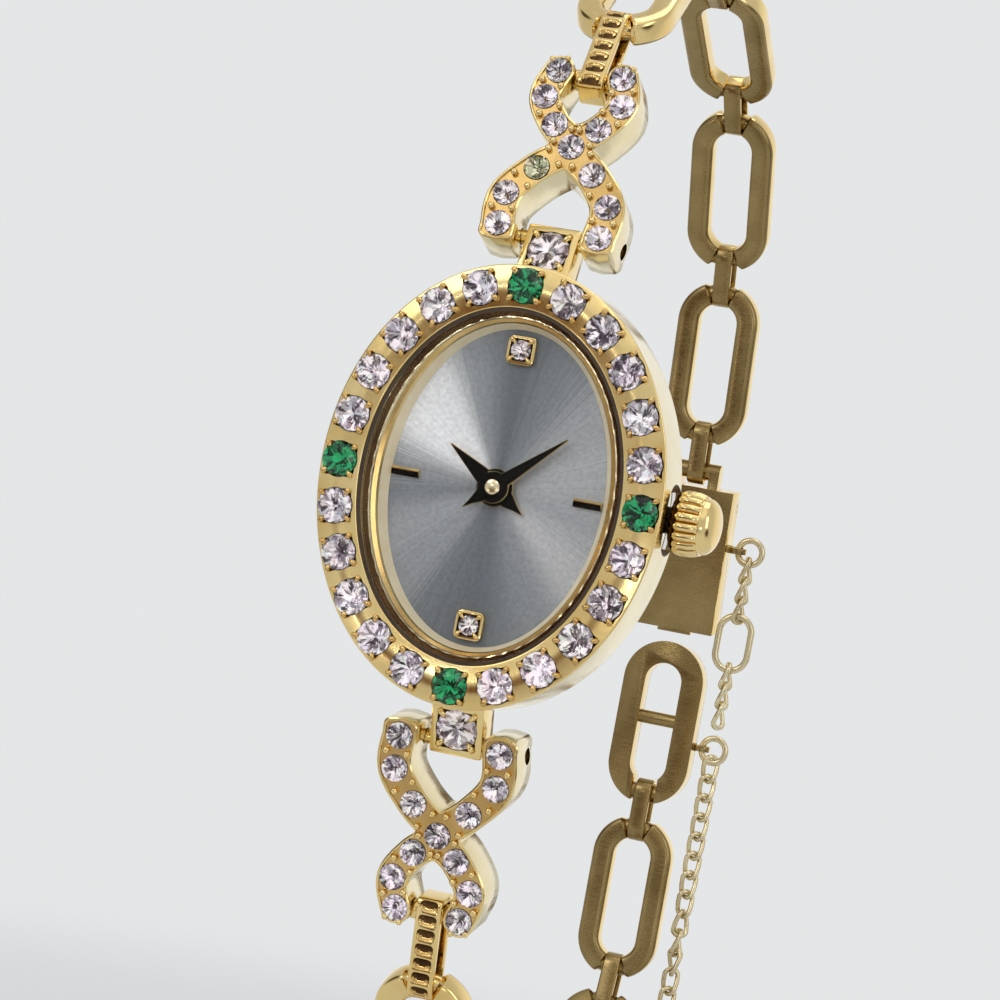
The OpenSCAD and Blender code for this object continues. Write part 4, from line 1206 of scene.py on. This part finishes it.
def long_link_rings(necks=(0.0, NECK_STEP)):
    """A bar of rounded square section that narrows to a round neck where a clip holds it."""
    rings = []
    mid = NECK_STEP / 2
    for (x, z), (nx, nz) in link_path():
        t = 0.0
        if (z < mid and 0.0 in necks) or (z > mid and NECK_STEP in necks):
            near = abs(z - mid) > mid - 1.5
            t = 1 - min(1, max(0, (abs(x) - 0.62) / 0.14)) if near else 0.0
            t = t * t * (3 - 2 * t)
        ring = []
        for k in range(28):
            a = TAU * k / 28
            c, s = math.cos(a), math.sin(a)
            square_u = LINK_BAR / 2 * math.copysign(abs(c) ** 0.5, c)
            square_v = LINK_T / 2 * math.copysign(abs(s) ** 0.5, s)
            u = square_u * (1 - t) + NECK_R * c * t
            v = square_v * (1 - t) + NECK_R * s * t
            ring.append((x + u * nx, v, z + u * nz))
        rings.append(ring)
    return rings


def mark_inside(piece, place, least=0.25, index=1):
    """Gives the faces that look towards the wrist the satin inside finish, painted much darker as painted
    shade.
    """
    inside = place.to_3x3() @ Vector((0, 1, 0))
    for polygon in piece.data.polygons:
        if polygon.normal.dot(inside) > least:
            polygon.material_index = index
    return piece


def make_long_link(side, number, tilts, i, place):
    body = f"{side}_link_{number}"
    build = Build().skin(long_link_rings(), place)
    clip = place @ shift(0, 0, NECK_STEP) @ turn_x((tilts[i] - tilts[i + 1]) / 2)
    build.skin(strap_rings(stadium(CLIP_STEP, STRAP_R + STRAP_T / 2), CLIP_W, 0.1, 0.06), clip)
    piece = build.obj(body + "_bar", [M["gold"], M["gold_inside_shade"]], 30)
    finish_piece(mark_inside(piece, place), body, "gold", body)


def softened_copy(node, name, body, width, place=None):
    """A copy of a CAD node with rounded edges, in place of the node."""
    data = frame["nodes"][node].data.copy()
    data.materials.clear()
    data.materials.append(M["gold"])
    data.materials.append(M["gold_inside_shade"])
    data.polygons.foreach_set("material_index", [0] * len(data.polygons))
    piece = bpy.data.objects.new(name, data)
    bpy.context.scene.collection.objects.link(piece)
    work = bmesh.new()
    work.from_mesh(data)
    bmesh.ops.remove_doubles(work, verts=work.verts, dist=1e-6)
    bmesh.ops.dissolve_limit(work, angle_limit=math.radians(1), verts=work.verts, edges=work.edges)
    work.to_mesh(data)
    work.free()
    soften(piece, width)
    if place:
        mark_inside(piece, place)
    return finish_piece(piece, body, "gold", node)


def wire_loop(build, w, l, r, place, twist=0.0, steps=36, sides=10):
    """A closed oval of round wire in X and Z, which can be twisted about its long axis."""
    bend = w / 2 - r
    straight = l - w
    rings = []
    for k in range(steps):
        a = TAU * k / steps
        x, z = bend * math.sin(a), bend * math.cos(a)
        z += math.copysign(straight / 2, z) if abs(z) > 1e-9 else 0
        n = Vector((math.sin(a), 0, math.cos(a)))
        ring = []
        for j in range(sides):
            b = TAU * j / sides
            p = Vector((x, 0, z)) + n * (r * math.cos(b)) + Vector((0, r * math.sin(b), 0))
            turned = turn_z(math.degrees(twist * p.z / l)) @ p
            ring.append(turned)
        rings.append(ring)
    build.skin(rings, place)


def curb_links(build, at, first, count, lean):
    """Twisted links that hang in one another; lean(i) turns a link about the chain."""
    for i in range(count):
        place = at @ shift(0, 0, first - i * CHAIN_STEP) @ turn_z(lean(i))
        wire_loop(build, CHAIN_W, CHAIN_LEN, CHAIN_WIRE, place, math.pi / 2)
    return first - (count - 1) * CHAIN_STEP - CHAIN_LEN / 2 + 2 * CHAIN_WIRE


def make_strand(name, body, x, eye, joined, count, lean):
    build = Build()
    at = shift(x + RING_R, eye.y, eye.z)
    wire_loop(build, 2 * (RING_R + RING_WIRE), 2 * (RING_R + RING_WIRE), RING_WIRE, at, 0, 48, 14)
    down = 2 * CHAIN_WIRE + SLACK - CHAIN_LEN / 2
    edge = RING_WIRE - RING_R
    if joined:
        edge = curb_links(build, at, edge + down, JOIN_LINKS, lean)
        big_z = edge + 2 * BIG_WIRE + SLACK - BIG_LEN / 2
        wire_loop(build, BIG_W, BIG_LEN, BIG_WIRE, at @ shift(0, 0, big_z), 0, 56, 14)
        edge = big_z - BIG_LEN / 2 + 2 * BIG_WIRE
    curb_links(build, at, edge + down, count, lean)
    finish_piece(build.obj(name, [M["gold_chain"]], 50), body, "gold", body)


def make_bracelet():
    for side, place_of, tilts, links in (
        ("upper", upper_place, UPPER_TILT, 5), ("lower", lower_place, LOWER_TILT, 6)
    ):
        make_eight(side, place_of(0, side + "_eight_link"))
        make_connector(side, place_of(1, side + "_connector"))
        for n in range(1, links + 1):
            make_long_link(side, n, tilts, n + 1, place_of(n + 1, f"{side}_link_{n}"))
    clasp_place = upper_place(7, "clasp")
    ladder_place = lower_place(8, "ladder_link")
    softened_copy("clasp_body", "clasp_channel", "clasp", 0.09, clasp_place)
    softened_copy("clasp_cover", "clasp_flap", "clasp_cover", 0.07, clasp_place)
    softened_copy("clasp_pin", "clasp_hinge_pin", "clasp", 0.05)
    softened_copy("lug_pins", "lug_hinge_pins", "case", 0.05)
    softened_copy("ladder_link", "ladder_bar", "ladder_link", 0.12, ladder_place)
    clasp_eye = clasp_place @ Vector((0, 0, CLASP_EYE_Z))
    ladder_eye = ladder_place @ Vector((0, 0, LADDER_EYE_Z))
    make_strand("clasp_safety_chain", "clasp_strand", CLASP_EYE_X, clasp_eye, True, CLASP_LINKS, lambda i: 80)
    make_strand("ladder_safety_chain", "ladder_strand", LADDER_EYE_X, ladder_eye, False, LADDER_LINKS,
                lambda i: min(180, max(0, 45 * (i - 7))))


# Finishes of the CAD nodes that stay as they are

KEPT = {
    # The crystal gasket takes the dark brown painted shade
    "crystal_gasket": "gasket_shade", "dial": "dial", "movement_holder": "plastic", "main_plate": "wheel",
    "train_bridge": "steel", "coil": "copper", "stator": "steel", "circuit_board": "board",
    "quartz_can": "steel", "battery": "steel", "battery_clamp": "steel", "case_back": "back",
    "case_back_gasket": "rubber", "crown_tube": "tube", "setting_slide": "steel", "stem": "steel",
    "center_wheel": "wheel", "hour_wheel": "wheel", "minute_wheel": "wheel", "third_wheel": "wheel",
    "intermediate_wheel": "wheel", "rotor": "steel",
}


def finish_kept():
    for node, material in KEPT.items():
        data = frame["nodes"][node].data
        data.materials.clear()
        data.materials.append(M[material])
        smooth(frame["nodes"][node], 30)


# Floor, light and camera

BACKGROUND = (0.775, 0.791, 0.796)


def make_stage():
    lowest = cad_box[0][2] - 0.0001
    half = 1.6
    data = bpy.data.meshes.new("floor")
    corners = [(x, y, lowest) for x, y in ((-half, -half), (half, -half), (half, half), (-half, half))]
    data.from_pydata(corners, [], [(0, 1, 2, 3)])
    floor = bpy.data.objects.new("floor", data)
    bpy.context.scene.collection.objects.link(floor)
    s = Shader("pale_floor")
    cloud = s.noise(30, 2)
    s.set(Base_Color=s.ramp(cloud, (0.76, 0.775, 0.78), (0.79, 0.805, 0.81)), Roughness=0.9)
    # Far from the watch the floor passes into the backdrop's even colour
    split = s.node("SeparateXYZ", Vector=s.coords())
    across = s.math("POWER", split.outputs["X"], 2.0)
    along = s.math("POWER", s.math("SUBTRACT", split.outputs["Y"], 0.02), 2.0)
    away = s.math("SQRT", s.math("ADD", across, along))
    blend = s.node("MapRange", Value=away)
    blend.interpolation_type = "SMOOTHSTEP"
    blend.inputs["From Min"].default_value = 0.06
    blend.inputs["From Max"].default_value = 0.12
    even = s.node("Emission", Color=(*BACKGROUND, 1))
    mix = s.node("MixShader", Fac=blend.outputs[0])
    s.link(s.bsdf.outputs[0], mix.inputs[1])
    # The lit surround takes the backdrop's place for every ray but the camera's
    far = s.node("MixShader", Fac=s.node("LightPath").outputs["Is Camera Ray"])
    s.link(s.node("BsdfTransparent").outputs[0], far.inputs[1])
    s.link(even.outputs[0], far.inputs[2])
    s.link(far.outputs[0], mix.inputs[2])
    s.link(mix.outputs[0], s.out.inputs["Surface"])
    data.materials.append(s.material)


def make_world():
    """A pale surround with a darker, warmer patch low in front, as in a room with a light tent."""
    world = bpy.data.worlds.new("studio")
    bpy.context.scene.world = world
    world.use_nodes = True
    tree = world.node_tree
    tree.nodes.clear()
    new = tree.nodes.new
    link = tree.links.new
    coords = new("ShaderNodeTexCoord")

    def patch(direction, inner, outer):
        """1 within the inner angle of a direction, and 0 beyond the outer one."""
        dot = new("ShaderNodeVectorMath")
        dot.operation = "DOT_PRODUCT"
        link(coords.outputs["Generated"], dot.inputs[0])
        dot.inputs[1].default_value = Vector(direction).normalized()
        part = new("ShaderNodeMapRange")
        part.interpolation_type = "SMOOTHSTEP"
        link(dot.outputs["Value"], part.inputs["Value"])
        part.inputs["From Min"].default_value = math.cos(math.radians(outer))
        part.inputs["From Max"].default_value = math.cos(math.radians(inner))
        return part.outputs[0]

    def mix(factor, a, b):
        made = new("ShaderNodeMix")
        made.data_type = "RGBA"
        link(factor, made.inputs[0])
        for socket, value in ((made.inputs[6], a), (made.inputs[7], b)):
            if hasattr(value, "is_output"):
                link(value, socket)
            else:
                socket.default_value = (*value, 1)
        return made.outputs[2]

    colour = mix(patch((0.2, 1.0, 0.0), 20, 70), (0.62, 0.63, 0.65), (0.95, 0.96, 0.97))
    colour = mix(patch((-0.24, -0.88, -0.4), 16, 29), colour, (0.16, 0.08, 0.035))
    colour = mix(patch((-0.9, -0.1, 0.3), 8, 26), colour, (0.08, 0.07, 0.06))
    colour = mix(patch((0.9, -0.3, -0.35), 6, 20), colour, (0.1, 0.08, 0.05))
    colour = mix(patch((0.1, -0.6, 0.8), 10, 34), colour, (1.0, 0.99, 0.95))
    light = new("ShaderNodeBackground")
    link(colour, light.inputs["Color"])
    shown = new("ShaderNodeBackground")
    shown.inputs["Color"].default_value = (*BACKGROUND, 1)
    path = new("ShaderNodeLightPath")
    choose = new("ShaderNodeMixShader")
    link(path.outputs["Is Camera Ray"], choose.inputs[0])
    link(light.outputs[0], choose.inputs[1])
    link(shown.outputs[0], choose.inputs[2])
    out = new("ShaderNodeOutputWorld")
    link(choose.outputs[0], out.inputs["Surface"])


def lamp(name, place, aim, size, watts, colour=(1, 1, 1)):
    data = bpy.data.lights.new(name, "AREA")
    data.shape = "RECTANGLE"
    data.size = size[0] * MM
    data.size_y = size[1] * MM
    data.energy = watts
    data.color = colour
    made = bpy.data.objects.new(name, data)
    made.location = Vector(place) * MM
    made.rotation_mode = "QUATERNION"
    made.rotation_quaternion = (Vector(aim) - Vector(place)).to_track_quat("-Z", "Y")
    bpy.context.scene.collection.objects.link(made)


def make_lights():
    lamp("key", (-150, -190, 150), (0, 0, 0), (120, 120), 0.09)
    lamp("fill", (190, -120, 60), (0, 0, 0), (70, 160), 0.05)
    lamp("top", (20, 20, 230), (0, 10, 0), (140, 140), 0.08)
    for i, (x, y, z) in enumerate(((-60, -220, 40), (70, -210, -40), (-120, -160, -70), (30, -170, 140))):
        lamp(f"glint_{i}", (x, y, z), (0, 0, 0), (14, 14), 0.008)


def make_camera():
    """The photograph's viewing angle: azimuth 16, elevation -1.5 and a roll of 10.8 degrees."""
    azimuth, elevation, roll = (math.radians(v) for v in (16, -1.5, 10.8))
    distance, focal, pixels = 137.6, 2935.0, 1000.0
    back = Vector((math.sin(azimuth) * math.cos(elevation), -math.cos(azimuth) * math.cos(elevation),
                   math.sin(elevation)))
    right = Vector((math.cos(azimuth), math.sin(azimuth), 0))
    up = back.cross(right)
    right, up = (math.cos(roll) * right + math.sin(roll) * up, math.cos(roll) * up - math.sin(roll) * right)
    face = Vector((0, -CASE_H, 0))
    face_pixel = (487, 485.5)
    depth = distance - face.dot(back)
    centre_x = face_pixel[0] - focal * face.dot(right) / depth
    centre_y = face_pixel[1] + focal * face.dot(up) / depth
    data = bpy.data.cameras.new("camera")
    data.sensor_width = 36
    data.lens = focal / pixels * data.sensor_width
    data.shift_x = (pixels / 2 - centre_x) / pixels
    data.shift_y = (centre_y - pixels / 2) / pixels
    data.clip_start = 0.005
    camera = bpy.data.objects.new("camera", data)
    turned = Matrix((right, up, back)).transposed().to_4x4()
    camera.matrix_world = Matrix.Translation(back * distance * MM) @ turned
    bpy.context.scene.collection.objects.link(camera)
    bpy.context.scene.camera = camera


make_case()
make_lugs()
make_face_claws()
make_face_stones()
make_inner_ring()
make_crystal()
make_dial_parts()
make_hands()
make_crown()
make_bracelet()
finish_kept()
make_stage()
make_world()
make_lights()
make_camera()
bpy.context.scene.view_settings.view_transform = "Standard"
